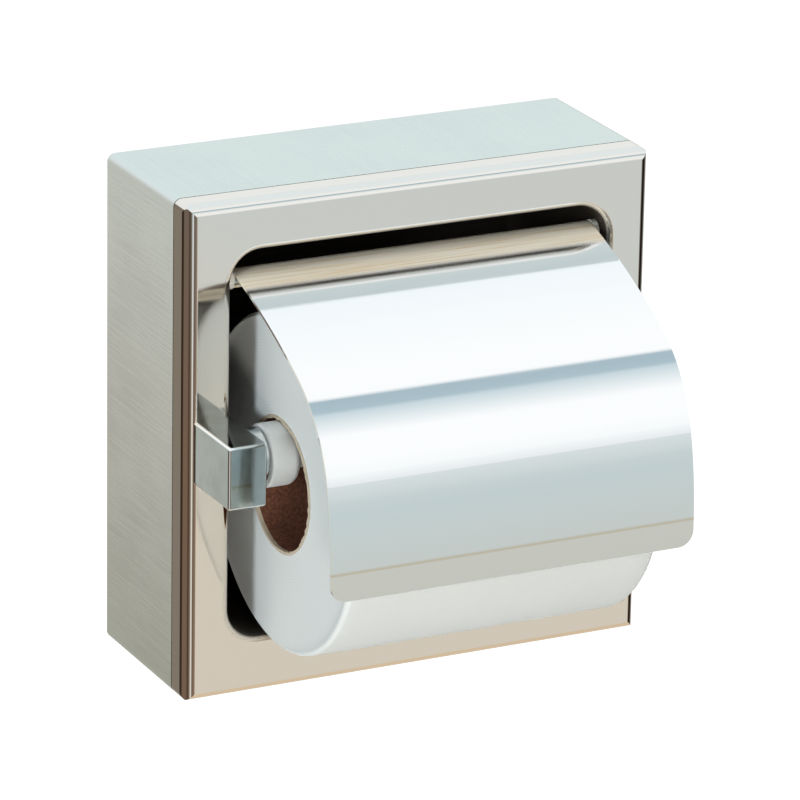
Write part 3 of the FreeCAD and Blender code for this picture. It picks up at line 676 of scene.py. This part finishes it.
@dataclass(frozen=True)
class Tissue:
    """Two-ply tissue: soft fibre with embossed dots, whose wound edge shows its layers as fine rings."""

    name: str
    colour: str
    shade: str
    fibre_mm: float
    fibre_depth_mm: float
    dot_mm: float
    dot_depth_mm: float
    ring_mm: float
    ring_depth_mm: float
    roughness: float = 0.95
    specular: float = 0.15
    sheen: float = 0.12
    sheen_roughness: float = 0.6
    dot_inside: float = 0.1
    dot_outside: float = 0.3
    sheet_levels: tuple[float, float] = (0.25, 0.6)
    edge_levels: tuple[float, float] = (0.05, 0.4)
    ring_sway: float = 2.5
    sway_detail: float = 3.0
    sway_scale: float = 0.4

    def begin(
        self, name: str, centre: Vector
    ) -> tuple[bpy.types.Material, bpy.types.Node, bpy.types.NodeSocket]:
        """Start one of the two paper materials.

        Args:
            name: the material's name.
            centre: the middle of the roll, in metres.

        Returns:
            The material, its shader and Object coordinates counted from the roll's middle.
        """
        material, shader = start_material(name)
        tree = material.node_tree
        place = add_node(tree, "ShaderNodeTexCoord").outputs["Object"]
        middle = add_node(tree, "ShaderNodeMapping", {"Vector": place, "Location": [-c for c in centre]})
        shader.inputs["Roughness"].default_value = self.roughness
        shader.inputs["Specular IOR Level"].default_value = self.specular
        shader.inputs["Sheen Weight"].default_value = self.sheen
        shader.inputs["Sheen Roughness"].default_value = self.sheen_roughness
        return material, shader, middle.outputs["Vector"]

    def sheet(self, centre: Vector, radius: float) -> bpy.types.Material:
        """Build the material of the outer sheet.

        Args:
            centre: the middle of the roll, in metres.
            radius: how far the sheet lies from the roll's axis, in metres.

        Returns:
            Paper with fibres and rows of embossed dots that follow the curve.
        """
        material, shader, middle = self.begin(self.name + "_sheet", centre)
        tree = material.node_tree
        parts = add_node(tree, "ShaderNodeSeparateXYZ", {"Vector": middle})
        turn = add_node(
            tree, "ShaderNodeMath", {0: parts.outputs["Z"], 1: parts.outputs["Y"]}, operation="ARCTAN2"
        )
        run = add_node(tree, "ShaderNodeMath", {0: turn.outputs["Value"], 1: radius}, operation="MULTIPLY")
        flat = add_node(tree, "ShaderNodeCombineXYZ", {"X": parts.outputs["X"], "Y": run.outputs["Value"]})
        dots = add_node(
            tree,
            "ShaderNodeTexVoronoi",
            {"Vector": flat.outputs["Vector"], "Scale": 1 / (self.dot_mm * MM), "Randomness": 0.0},
            voronoi_dimensions="2D",
        )
        dips = add_node(
            tree,
            "ShaderNodeMapRange",
            {
                "Value": dots.outputs["Distance"],
                "From Min": self.dot_inside,
                "From Max": self.dot_outside,
            },
        )
        fibres = add_node(
            tree, "ShaderNodeTexNoise", {"Vector": middle, "Scale": 1 / (self.fibre_mm * MM), "Detail": 5.0}
        )
        tones = add_node(tree, "ShaderNodeValToRGB", {"Fac": fibres.outputs["Fac"]})
        set_stops(tones, tuple(zip(self.sheet_levels, (self.shade, self.colour))))
        nap = add_node(
            tree, "ShaderNodeBump", {"Height": fibres.outputs["Fac"], "Distance": self.fibre_depth_mm * MM}
        )
        pressed = add_node(
            tree,
            "ShaderNodeBump",
            {
                "Height": dips.outputs["Result"],
                "Distance": self.dot_depth_mm * MM,
                "Normal": nap.outputs["Normal"],
            },
        )
        tree.links.new(tones.outputs["Color"], shader.inputs["Base Color"])
        tree.links.new(pressed.outputs["Normal"], shader.inputs["Normal"])
        return material

    def wound_edge(self, centre: Vector) -> bpy.types.Material:
        """Build the material of the roll's ends. The layers are drawn several times their real thickness.

        Args:
            centre: the middle of the roll, in metres.

        Returns:
            Paper with rings about the roll's axis.
        """
        material, shader, middle = self.begin(self.name + "_wound_edge", centre)
        tree = material.node_tree
        fibres = add_node(
            tree, "ShaderNodeTexNoise", {"Vector": middle, "Scale": 1 / (self.fibre_mm * MM), "Detail": 5.0}
        )
        rings = add_node(
            tree,
            "ShaderNodeTexWave",
            {
                "Vector": middle,
                "Scale": WAVE_SCALE / (self.ring_mm * MM),
                "Distortion": self.ring_sway,
                "Detail": self.sway_detail,
                "Detail Scale": self.sway_scale,
            },
            wave_type="RINGS",
            rings_direction="X",
        )
        mixed = add_node(
            tree,
            "ShaderNodeMath",
            {0: rings.outputs["Fac"], 1: fibres.outputs["Fac"]},
            operation="MULTIPLY",
        )
        tones = add_node(tree, "ShaderNodeValToRGB", {"Fac": mixed.outputs["Value"]})
        set_stops(tones, tuple(zip(self.edge_levels, (self.shade, self.colour))))
        bump = add_node(
            tree, "ShaderNodeBump", {"Height": mixed.outputs["Value"], "Distance": self.ring_depth_mm * MM}
        )
        tree.links.new(tones.outputs["Color"], shader.inputs["Base Color"])
        tree.links.new(bump.outputs["Normal"], shader.inputs["Normal"])
        return material


# the satin box is brushed and then dulled, so it spreads reflections into soft patches, and painted shade
# and reflection make it darker towards the bottom and paler and bluer at the top
SATIN_STEEL = SheetSteel(
    name="satin_stainless_steel",
    tones=((-79.0, "#bcbfba"), (0.0, "#d4d5d4"), (78.0, "#e2e9ea"), (79.0, "#dcebea")),
    roughness=0.3,
    grain=Grain.ALONG_Y,
    line_mm=0.35,
    line_depth_mm=0.001,
    wave_mm=60.0,
    wave_depth_mm=0.05,
    unevenness=0.25,
)
# the drawn pan's flange is polished to a mirror, slightly wavy, and painted warmer lower down as a
# reflection of the ground;
# its side rims carry a painted brown reflection, and the recess is dull with painted dark shade
BRIGHT_STEEL = SheetSteel(
    name="polished_stainless_steel",
    tones=((-30.0, "#f8e9d9"), (40.0, "#edece8")),
    roughness=0.07,
    grain=Grain.ALONG_X,
    line_mm=0.5,
    line_depth_mm=0.0006,
    wave_mm=16.0,
    wave_depth_mm=0.05,
    unevenness=0.4,
    lean=0.5,
    side_mm=77.2,
    painted_side_reflection="#83766a",
    # the recess's dark colours are painted shade over a dull finish
    dull=DullZone(
        start_mm=-59.6,
        fade_mm=1.0,
        reach_mm=70.0,
        colour="#3a332b",
        streak="#2b2620",
        roughness=0.55,
        metallic=0.15,
    ),
)
# the hood is polished along its width and painted whiter higher up as a reflection; the strip beside the
# hinge, where its edge is rolled, is dull with a painted warm reflection, and a faint warm line above its
# lower edge is a painted reflection of its fold
HOOD_STEEL = SheetSteel(
    name="polished_stainless_hood_sheet",
    tones=(
        (-26.0, "#e9e7df"),
        # a painted reflection line along the fold
        (-17.2, "#ebe9e2"),
        (-16.6, "#ddd0ba"),
        (-15.8, "#e9edec"),
        (1.0, "#e9f3f6"),
        (16.0, "#fbfdfe"),
        (60.0, "#fbfdfe"),
    ),
    roughness=0.08,
    grain=Grain.ALONG_X,
    line_mm=0.6,
    line_depth_mm=0.0012,
    wave_mm=45.0,
    wave_depth_mm=0.03,
    unevenness=0.4,
    # the strip's pale tan colours are a painted reflection
    dull=DullZone(
        start_mm=-65.5,
        fade_mm=2.7,
        reach_mm=70.0,
        colour="#fff6e2",
        streak="#f2dab2",
        roughness=0.5,
        metallic=0.0,
    ),
)
# nickel and chromium on a die casting: a near mirror over a faint orange peel
CHROME_CASTING = PlatedMetal(
    name="chrome_plated_zinc_casting",
    colour="#b9c3c5",
    shade="#acb6b7",
    # a painted highlight on rounded edges
    edge="#fbfdfd",
    roughness=0.05,
    pit_mm=2.6,
    pit_depth_mm=0.006,
)
# bright zinc on turned and pressed steel: greyer than chrome, with drawn-out clouds
ZINC_FIXING = PlatedMetal(
    name="zinc_plated_steel",
    colour="#c9cdca",
    shade="#aeb3b0",
    # a painted highlight on rounded edges
    edge="#d6dad8",
    roughness=0.3,
    pit_mm=0.7,
    pit_depth_mm=0.01,
)
# patented spring wire: dark drawn steel with a thin oil film
SPRING_WIRE = PlatedMetal(
    name="drawn_spring_steel_wire",
    colour="#a9aaa8",
    shade="#8d8f8e",
    # a painted highlight on rounded edges
    edge="#b2b3b2",
    roughness=0.33,
    pit_mm=0.6,
    pit_depth_mm=0.008,
)
# natural nylon: milky, slightly warm and soft in its gloss
NYLON = MouldedPlastic(
    name="natural_nylon",
    colour="#ece9df",
    shade="#e2ddd0",
    roughness=0.42,
    ior=1.53,
    grain_mm=0.5,
    grain_depth_mm=0.01,
)
# high-impact polystyrene rollers are moulded white with a dull grain
ROLLER_PLASTIC = MouldedPlastic(
    name="white_polystyrene",
    colour="#f4f8f8",
    shade="#ecf1f2",
    roughness=0.36,
    ior=1.59,
    grain_mm=0.5,
    grain_depth_mm=0.006,
)
# recycled core board: a dull warm brown, flecked with fibres, and paler within a millimetre of each end
CORE_BOARD = Chipboard(
    name="spiral_wound_core_board",
    colour="#8f5f4b",
    shade="#6c4536",
    speck="#573629",
    rim="#d3c2aa",
    seam_pitch_mm=88.0,
)
# creped two-ply tissue: a soft white that spreads light; its fibres and rings are drawn coarser than real
ROLL_TISSUE = Tissue(
    name="white_tissue_paper",
    colour="#f2f3f0",
    shade="#eef0ed",
    fibre_mm=0.7,
    fibre_depth_mm=0.04,
    dot_mm=4.2,
    dot_depth_mm=0.012,
    ring_mm=0.9,
    ring_depth_mm=0.0015,
)


# modelling


def clear_selection() -> None:
    """Leave edit mode and deselect everything."""
    if bpy.context.object and bpy.context.object.mode != "OBJECT":
        bpy.ops.object.mode_set(mode="OBJECT")
    bpy.ops.object.select_all(action="DESELECT")


def select_faces(piece: bpy.types.Object, test: Callable[[bpy.types.MeshPolygon], bool]) -> None:
    """Select the faces of a piece that pass a test, and stay in edit mode.

    Args:
        piece: the active mesh object.
        test: called with each polygon, true where it is to be selected.
    """
    bpy.ops.object.mode_set(mode="EDIT")
    bpy.ops.mesh.select_mode(type="FACE")
    bpy.ops.mesh.select_all(action="DESELECT")
    bpy.ops.object.mode_set(mode="OBJECT")
    for polygon in piece.data.polygons:
        polygon.select = test(polygon)
    bpy.ops.object.mode_set(mode="EDIT")


def select_edges(piece: bpy.types.Object, test: Callable[[Vector, Vector], bool]) -> None:
    """Select the edges of a piece that pass a test, and stay in edit mode.

    Args:
        piece: the active mesh object.
        test: called with the two end points of each edge, true where it is to be selected.
    """
    bpy.ops.object.mode_set(mode="EDIT")
    bpy.ops.mesh.select_mode(type="EDGE")
    bpy.ops.mesh.select_all(action="DESELECT")
    bpy.ops.object.mode_set(mode="OBJECT")
    points = piece.data.vertices
    for edge in piece.data.edges:
        first, second = edge.vertices
        edge.select = test(points[first].co, points[second].co)
    bpy.ops.object.mode_set(mode="EDIT")


def roughen(piece: bpy.types.Object, name: str, depth: float, spread: float) -> None:
    """Press soft hollows into a piece with a displace modifier, and apply it.

    Args:
        piece: the active mesh object, in object mode.
        name: a name for the cloud pattern.
        depth: how deep the hollows go, in metres.
        spread: how far apart they lie, in metres.
    """
    clouds = bpy.data.textures.new(name, "CLOUDS")
    clouds.noise_scale = spread
    clouds.noise_depth = 1
    press = piece.modifiers.new(name, "DISPLACE")
    press.texture = clouds
    press.texture_coords = "LOCAL"
    press.strength = depth
    press.mid_level = 1.0
    bpy.ops.object.modifier_apply(modifier=name)


# pieces


@dataclass
class CardboardCore:
    """The board tube inside the roll, with worn ends."""

    wall: float = 1.1 * MM
    sides: int = 160
    cuts: int = 40
    fray: float = 0.1 * MM
    flare: float = 0.15 * MM
    tears: int = 3
    whole_share: float = 0.6
    dent: float = 0.12 * MM
    dent_spread: float = 9 * MM
    smooth_angle: float = math.radians(40)

    def tear_ends(self, core: bpy.types.Object, centre: Vector, width: float) -> None:
        """Wear the ends back and outwards here and there, so that the bore stays clear of the roller.

        Args:
            core: the active tube.
            centre: the middle of the tube.
            width: the tube's length.
        """
        reach = width / 2 - width / self.cuts / 2
        shorter = 1 - 2 * self.fray / width
        wider = 1 + 2 * self.flare / core.dimensions.z
        for tear in range(self.tears):
            select_edges(core, lambda a, b: min(abs(a.x - centre.x), abs(b.x - centre.x)) > reach)
            bpy.ops.mesh.select_random(ratio=self.whole_share, seed=tear, action="DESELECT")
            bpy.ops.transform.resize(value=(shorter, wider, wider), center_override=centre)
        bpy.ops.object.mode_set(mode="OBJECT")

    def build(self) -> bpy.types.Object:
        """Model the tube where its solid is.

        Returns:
            The finished core, which rides with the roll.
        """
        low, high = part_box("cardboard_core")
        centre = (low + high) / 2
        width = high.x - low.x
        outer = (high.z - low.z) / 2
        clear_selection()
        bpy.ops.mesh.primitive_cylinder_add(
            vertices=self.sides,
            radius=outer,
            depth=width,
            end_fill_type="NOTHING",
            location=centre,
            rotation=(0, math.pi / 2, 0),
        )
        core = bpy.context.object
        core.name = "core_tube"
        bpy.ops.object.transform_apply(location=True, rotation=True, scale=True)
        select_edges(core, lambda a, b: abs(a.x - b.x) > width / 2)
        bpy.ops.mesh.subdivide(number_cuts=self.cuts)
        bpy.ops.object.mode_set(mode="OBJECT")
        self.tear_ends(core, centre, width)
        roughen(core, "core_dents", self.dent, self.dent_spread)
        thicken = core.modifiers.new("board", "SOLIDIFY")
        thicken.thickness = self.wall
        thicken.offset = -1.0
        thicken.use_even_offset = True
        bpy.ops.object.modifier_apply(modifier="board")
        bpy.ops.object.shade_smooth_by_angle(angle=self.smooth_angle)
        core.data.materials.append(CORE_BOARD.material(centre, width))
        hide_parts("cardboard_core")
        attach(core, "roll")
        log.info("built %s", core.name)
        return core


@dataclass
class PaperRoll:
    """The wound paper: soft-edged, with uneven layers on its ends."""

    sides: int = 224
    cuts: int = 26
    rings: int = 20
    ring_play: float = 0.07 * MM
    slack: float = 0.45 * MM
    edge: float = 1.6 * MM
    edge_steps: int = 5
    hollow: float = 0.5 * MM
    hollow_spread: float = 26 * MM
    smooth_angle: float = math.radians(42)
    end_facing: float = 0.9
    wound_facing: float = 0.7
    near_bore_share: float = 1.04
    outside_share: float = 0.995
    seed: int = 11
    centre: Vector = field(init=False)
    width: float = field(init=False)
    radius: float = field(init=False)
    bore: float = field(init=False)

    def __post_init__(self) -> None:
        """Read the roll's place from its solid and from the core's."""
        low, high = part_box("paper_roll")
        core_low, core_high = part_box("cardboard_core")
        self.centre = (low + high) / 2
        self.width = high.x - low.x
        self.radius = (high.z - low.z) / 2
        self.bore = (core_high.z - core_low.z) / 2

    def distance(self, point: Vector) -> float:
        """How far a point lies from the roll's axis."""
        return math.hypot(point.y - self.centre.y, point.z - self.centre.z)

    def wind_end(self, roll: bpy.types.Object, end: End, draw: random.Random) -> None:
        """Set one end's flat face in to the bore, ring by ring, each a little in or out.

        Args:
            roll: the active roll.
            end: which end.
            draw: the seeded source of the rings' unevenness.
        """
        select_faces(roll, lambda face: face.normal.x * end.value > self.end_facing)
        step = (self.radius - self.slack - self.bore) / self.rings
        level = 0.0
        for ring in range(self.rings):
            target = -draw.uniform(0, self.ring_play) if ring else 0.0
            bpy.ops.mesh.inset(thickness=step, depth=target - level)
            level = target
        bpy.ops.mesh.delete(type="FACE")
        bpy.ops.object.mode_set(mode="OBJECT")

    def wind(self) -> bpy.types.Object:
        """Model the wound body with its bore.

        Returns:
            The roll, not yet dressed.
        """
        clear_selection()
        body_radius = self.radius - self.slack
        bpy.ops.mesh.primitive_cylinder_add(
            vertices=self.sides,
            radius=body_radius,
            depth=self.width,
            end_fill_type="NGON",
            location=self.centre,
            rotation=(0, math.pi / 2, 0),
        )
        roll = bpy.context.object
        roll.name = "wound_roll"
        bpy.ops.object.transform_apply(location=True, rotation=True, scale=True)
        draw = random.Random(self.seed)
        for end in End:
            self.wind_end(roll, end, draw)
        near_bore = self.bore * self.near_bore_share
        select_edges(roll, lambda a, b: max(self.distance(a), self.distance(b)) < near_bore)
        bpy.ops.mesh.bridge_edge_loops()
        outside = body_radius * self.outside_share
        select_edges(
            roll,
            lambda a, b: min(self.distance(a), self.distance(b)) > outside and abs(a.x - b.x) < self.edge,
        )
        bpy.ops.mesh.bevel(offset=self.edge, segments=self.edge_steps, affect="EDGES")
        select_edges(roll, lambda a, b: abs(a.x - b.x) > self.width / 2)
        bpy.ops.mesh.subdivide(number_cuts=self.cuts)
        bpy.ops.mesh.select_all(action="SELECT")
        bpy.ops.mesh.normals_make_consistent(inside=False)
        bpy.ops.object.mode_set(mode="OBJECT")
        roughen(roll, "roll_hollows", self.hollow, self.hollow_spread)
        bpy.ops.object.shade_smooth_by_angle(angle=self.smooth_angle)
        return roll

    def dress_roll(self, roll: bpy.types.Object) -> None:
        """Give the ends their rings and the rest the plain sheet.

        Args:
            roll: the wound roll.
        """
        roll.data.materials.append(ROLL_TISSUE.sheet(self.centre, self.radius))
        roll.data.materials.append(ROLL_TISSUE.wound_edge(self.centre))
        select_faces(roll, lambda face: abs(face.normal.x) > self.wound_facing)
        roll.active_material_index = 1
        bpy.ops.object.material_slot_assign()
        bpy.ops.object.mode_set(mode="OBJECT")

    def build(self) -> bpy.types.Object:
        """Model and dress the roll where its solid is.

        Returns:
            The finished roll, which rides with the core.
        """
        roll = self.wind()
        self.dress_roll(roll)
        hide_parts("paper_roll")
        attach(roll, "roll")
        log.info("built %s", roll.name)
        return roll


@dataclass
class Housing:
    """The surface box and the bright pan set into its front."""

    def dress(self) -> None:
        """Give the sheet-metal pieces their finishes."""
        dress("surface_box", SATIN_STEEL.material())
        dress("recess_pan", BRIGHT_STEEL.material())


@dataclass
class HingedHood:
    """The hood, the rod that it turns on, and what keeps it there."""

    sides: tuple[str, str] = ("left", "right")

    def dress(self) -> None:
        """Give the hood and its hinge their finishes."""
        dress("hood", HOOD_STEEL.material())
        fixing = ZINC_FIXING.material()
        nylon = NYLON.material()
        dress("hinge_rod", fixing)
        for side in self.sides:
            dress("rod_clip_" + side, fixing)
            dress("hinge_spacer_" + side, nylon)


@dataclass
class PostPair:
    """The two chrome posts with the screws and washers that hold them."""

    sides: tuple[str, str] = ("left", "right")

    def dress(self) -> None:
        """Give the posts and their fixings their finishes."""
        chrome = CHROME_CASTING.material()
        fixing = ZINC_FIXING.material()
        for side in self.sides:
            dress("post_" + side, chrome)
            dress("post_screws_" + side, fixing)
            dress("post_washers_" + side, fixing)


@dataclass
class SpringRoller:
    """The telescoping roller and its spring."""

    def dress(self) -> None:
        """Give the roller halves and the spring their finishes."""
        plastic = ROLLER_PLASTIC.material()
        dress("roller_sleeve", plastic)
        dress("roller_plunger", plastic)
        dress("roller_spring", SPRING_WIRE.material())


# studio


@dataclass(frozen=True)
class Lamp:
    """A soft studio lamp, placed by its bearing from the object in degrees and its distance in metres."""

    name: str
    azimuth: float
    elevation: float
    distance: float
    size: float
    watts: float
    colour: str = "#ffffff"

    def build(self, aim: Vector) -> None:
        """Hang the lamp so that it faces the object. Mirrors see the world's cards in its place.

        Args:
            aim: the point that it faces.
        """
        light = bpy.data.lights.new(self.name, "AREA")
        light.shape = "DISK"
        light.size = self.size
        light.energy = self.watts
        light.color = linear(self.colour)[:3]
        lamp = bpy.data.objects.new(self.name, light)
        bpy.context.scene.collection.objects.link(lamp)
        back = bearing(math.radians(self.azimuth), math.radians(self.elevation))
        lamp.location = aim + back * self.distance
        lamp.rotation_mode = "QUATERNION"
        lamp.rotation_quaternion = back.to_track_quat("Z", "Y")
        lamp.visible_camera = False
        lamp.visible_glossy = False


@dataclass
class Studio:
    """A pale studio, white for the camera, with the soft boxes and dark gaps that bright metal shows."""

    aim: Vector = Vector((3.229 * MM, -40 * MM, 1.456 * MM))
    azimuth: float = math.radians(-26.438)
    elevation: float = math.radians(19.574)
    roll: float = math.radians(1.064)
    distance: float = 1814.53 * MM
    lens: float = 265.527
    sensor: float = 36.0
    floor_drop: float = 420 * MM
    floor_size: float = 30.0
    floor_colour: str = "#e9e9e6"
    floor_glow: float = 0.87
    ambient: str = "#f2f5f6"
    ambient_level: float = 0.18
    # what metal mirrors from above, by degrees up from the level front, over the top and down behind
    overhead: tuple[tuple[float, str], ...] = (
        (-180, "#d8d8d2"),
        (0, "#d2d7d6"),
        (14, "#ffffff"),
        (45, "#ffffff"),
        (64, "#cad9de"),
        (66, "#aec2cb"),
        (76, "#a8bcc5"),
        (78, "#ffffff"),
        (102, "#ffffff"),
        (124, "#f0f8fb"),
        (160, "#f8f9f8"),
        (180, "#d8d8d2"),
    )
    # what it mirrors from lower down, by degrees from the front towards the viewer's right
    low_round: tuple[tuple[float, str], ...] = (
        (-180, "#d2d0c6"),
        (-152, "#dbd9ce"),
        (-142, "#cfccc0"),
        (-134, "#2e221c"),
        (-126, "#5a4b42"),
        (-117, "#7b6c61"),
        (-108, "#635046"),
        (-98, "#40342d"),
        (-66, "#857d70"),
        (-55, "#dfe6ea"),
        (-44, "#dfe6ea"),
        (-36, "#6a5d54"),
        (2, "#8b7f75"),
        (14, "#ded8ce"),
        (22, "#d6dad8"),
        (40, "#d4d8d6"),
        (49, "#54473d"),
        (64, "#120c09"),
        (76, "#120c09"),
        (90, "#46423f"),
        (120, "#a9a7a1"),
        (150, "#c9c8c2"),
        (180, "#d2d0c6"),
    )
    # what it mirrors from below, and the heights between which one of the three gives way to the next
    underside: str = "#d8cdb8"
    horizon: tuple[float, float] = (-0.26, 0.1)
    nadir: tuple[float, float] = (-0.85, -0.55)
    lamps: tuple[Lamp, ...] = (
        Lamp(
            name="key_softbox",
            azimuth=-60,
            elevation=8,
            distance=1.6,
            size=0.36,
            watts=10.2,
            colour="#e5f2f9",
        ),
        Lamp(
            name="front_bounce",
            azimuth=-18,
            elevation=-26,
            distance=1.5,
            size=0.9,
            watts=52.0,
            colour="#fffaf2",
        ),
        Lamp(name="overhead_bank", azimuth=0, elevation=70, distance=1.7, size=1.2, watts=13.0),
    )

    def place_camera(self) -> None:
        """Set the camera at the photograph's angle."""
        camera_data = bpy.data.cameras.new("camera")
        camera_data.lens = self.lens
        camera_data.sensor_width = self.sensor
        camera = bpy.data.objects.new("camera", camera_data)
        bpy.context.scene.collection.objects.link(camera)
        back = bearing(self.azimuth, self.elevation)
        turn = back.to_track_quat("Z", "Y").to_matrix().to_4x4()
        tilt = Matrix.Rotation(self.roll, 4, "Z")
        camera.matrix_world = Matrix.Translation(self.aim + back * self.distance) @ turn @ tilt
        bpy.context.scene.camera = camera

    def light_world(self) -> None:
        """Colour the world: white behind the object, soft boxes in mirrors, even light on dull surfaces."""
        world = bpy.data.worlds.new("studio")
        bpy.context.scene.world = world
        world.use_nodes = True
        tree = world.node_tree
        tree.nodes.clear()
        way = add_node(tree, "ShaderNodeTexCoord").outputs["Generated"]
        parts = add_node(tree, "ShaderNodeSeparateXYZ", {"Vector": way})
        ahead = add_node(tree, "ShaderNodeMath", {0: parts.outputs["Y"], 1: -1.0}, operation="MULTIPLY")
        ramps = []
        for name, stops in (("Z", self.overhead), ("X", self.low_round)):
            angle = add_node(
                tree,
                "ShaderNodeMath",
                {0: parts.outputs[name], 1: ahead.outputs["Value"]},
                operation="ARCTAN2",
            )
            # a ramp runs over one full turn, with the front in its middle
            share = add_node(
                tree,
                "ShaderNodeMath",
                {0: angle.outputs["Value"], 1: 1 / math.tau, 2: 0.5},
                operation="MULTIPLY_ADD",
            )
            ramp = add_node(tree, "ShaderNodeValToRGB", {"Fac": share.outputs["Value"]})
            set_stops(ramp, tuple((degrees / 360 + 0.5, colour) for degrees, colour in stops))
            ramps.append(ramp.outputs["Color"])
        high_cards, low_cards = ramps
        rise, lower = (
            add_node(
                tree,
                "ShaderNodeMapRange",
                {"Value": parts.outputs["Z"], "From Min": low, "From Max": high},
                interpolation_type="SMOOTHSTEP",
            ).outputs["Result"]
            for low, high in (self.horizon, self.nadir)
        )
        ground = add_node(
            tree,
            "ShaderNodeMix",
            {"Factor": lower, COLOUR_A: linear(self.underside), COLOUR_B: low_cards},
            data_type="RGBA",
        )
        cards = add_node(
            tree,
            "ShaderNodeMix",
            {"Factor": rise, COLOUR_A: ground.outputs[COLOUR_MIXED], COLOUR_B: high_cards},
            data_type="RGBA",
        )
        path = add_node(tree, "ShaderNodeLightPath")
        open_view = add_node(
            tree,
            "ShaderNodeMath",
            {0: path.outputs["Is Camera Ray"], 1: path.outputs["Is Transmission Ray"]},
            operation="MAXIMUM",
        )
        mirrored = add_node(tree, "ShaderNodeBackground", {"Color": cards.outputs[COLOUR_MIXED]})
        white = add_node(tree, "ShaderNodeBackground", {"Color": linear("#ffffff")})
        even = add_node(
            tree, "ShaderNodeBackground", {"Color": linear(self.ambient), "Strength": self.ambient_level}
        )
        shown = add_node(
            tree,
            "ShaderNodeMixShader",
            {
                0: path.outputs["Is Glossy Ray"],
                1: even.outputs["Background"],
                2: mirrored.outputs["Background"],
            },
        )
        seen = add_node(
            tree,
            "ShaderNodeMixShader",
            {0: open_view.outputs["Value"], 1: shown.outputs["Shader"], 2: white.outputs["Background"]},
        )
        add_node(tree, "ShaderNodeOutputWorld", {"Surface": seen.outputs["Shader"]})

    def lay_floor(self) -> None:
        """Lay a pale floor well below the object, which shows white and is clear from below."""
        clear_selection()
        bpy.ops.mesh.primitive_plane_add(
            size=self.floor_size, location=(self.aim.x, self.aim.y, self.aim.z - self.floor_drop)
        )
        floor = bpy.context.object
        floor.name = "studio_floor"
        material = bpy.data.materials.new("matt_paper_floor")
        material.use_nodes = True
        tree = material.node_tree
        tree.nodes.clear()
        paper = add_node(tree, "ShaderNodeBsdfDiffuse", {"Color": linear(self.floor_colour)})
        path = add_node(tree, "ShaderNodeLightPath")
        level = add_node(
            tree,
            "ShaderNodeMath",
            {0: path.outputs["Is Camera Ray"], 1: self.floor_glow},
            operation="MULTIPLY",
        )
        glow = add_node(tree, "ShaderNodeEmission", {"Strength": level.outputs["Value"]})
        lit = add_node(tree, "ShaderNodeAddShader", {0: paper.outputs["BSDF"], 1: glow.outputs["Emission"]})
        clear = add_node(tree, "ShaderNodeBsdfTransparent")
        facing = add_node(tree, "ShaderNodeNewGeometry")
        both = add_node(
            tree,
            "ShaderNodeMixShader",
            {0: facing.outputs["Backfacing"], 1: lit.outputs["Shader"], 2: clear.outputs["BSDF"]},
        )
        add_node(tree, "ShaderNodeOutputMaterial", {"Surface": both.outputs["Shader"]})
        floor.data.materials.append(material)
        floor.visible_glossy = False

    def build(self) -> None:
        """Set the camera, the world, the floor and the lamps."""
        self.place_camera()
        self.light_world()
        self.lay_floor()
        for lamp in self.lamps:
            lamp.build(self.aim)
        bpy.context.scene.view_settings.view_transform = "Standard"
        log.info("built the studio")


def main() -> None:
    """Build the dispenser's pieces and the studio in order."""
    logging.basicConfig(level=logging.INFO, format="%(message)s")
    Studio().build()
    Housing().dress()
    HingedHood().dress()
    PostPair().dress()
    SpringRoller().dress()
    CardboardCore().build()
    PaperRoll().build()
    clear_selection()


if __name__ == "__main__":
    main()
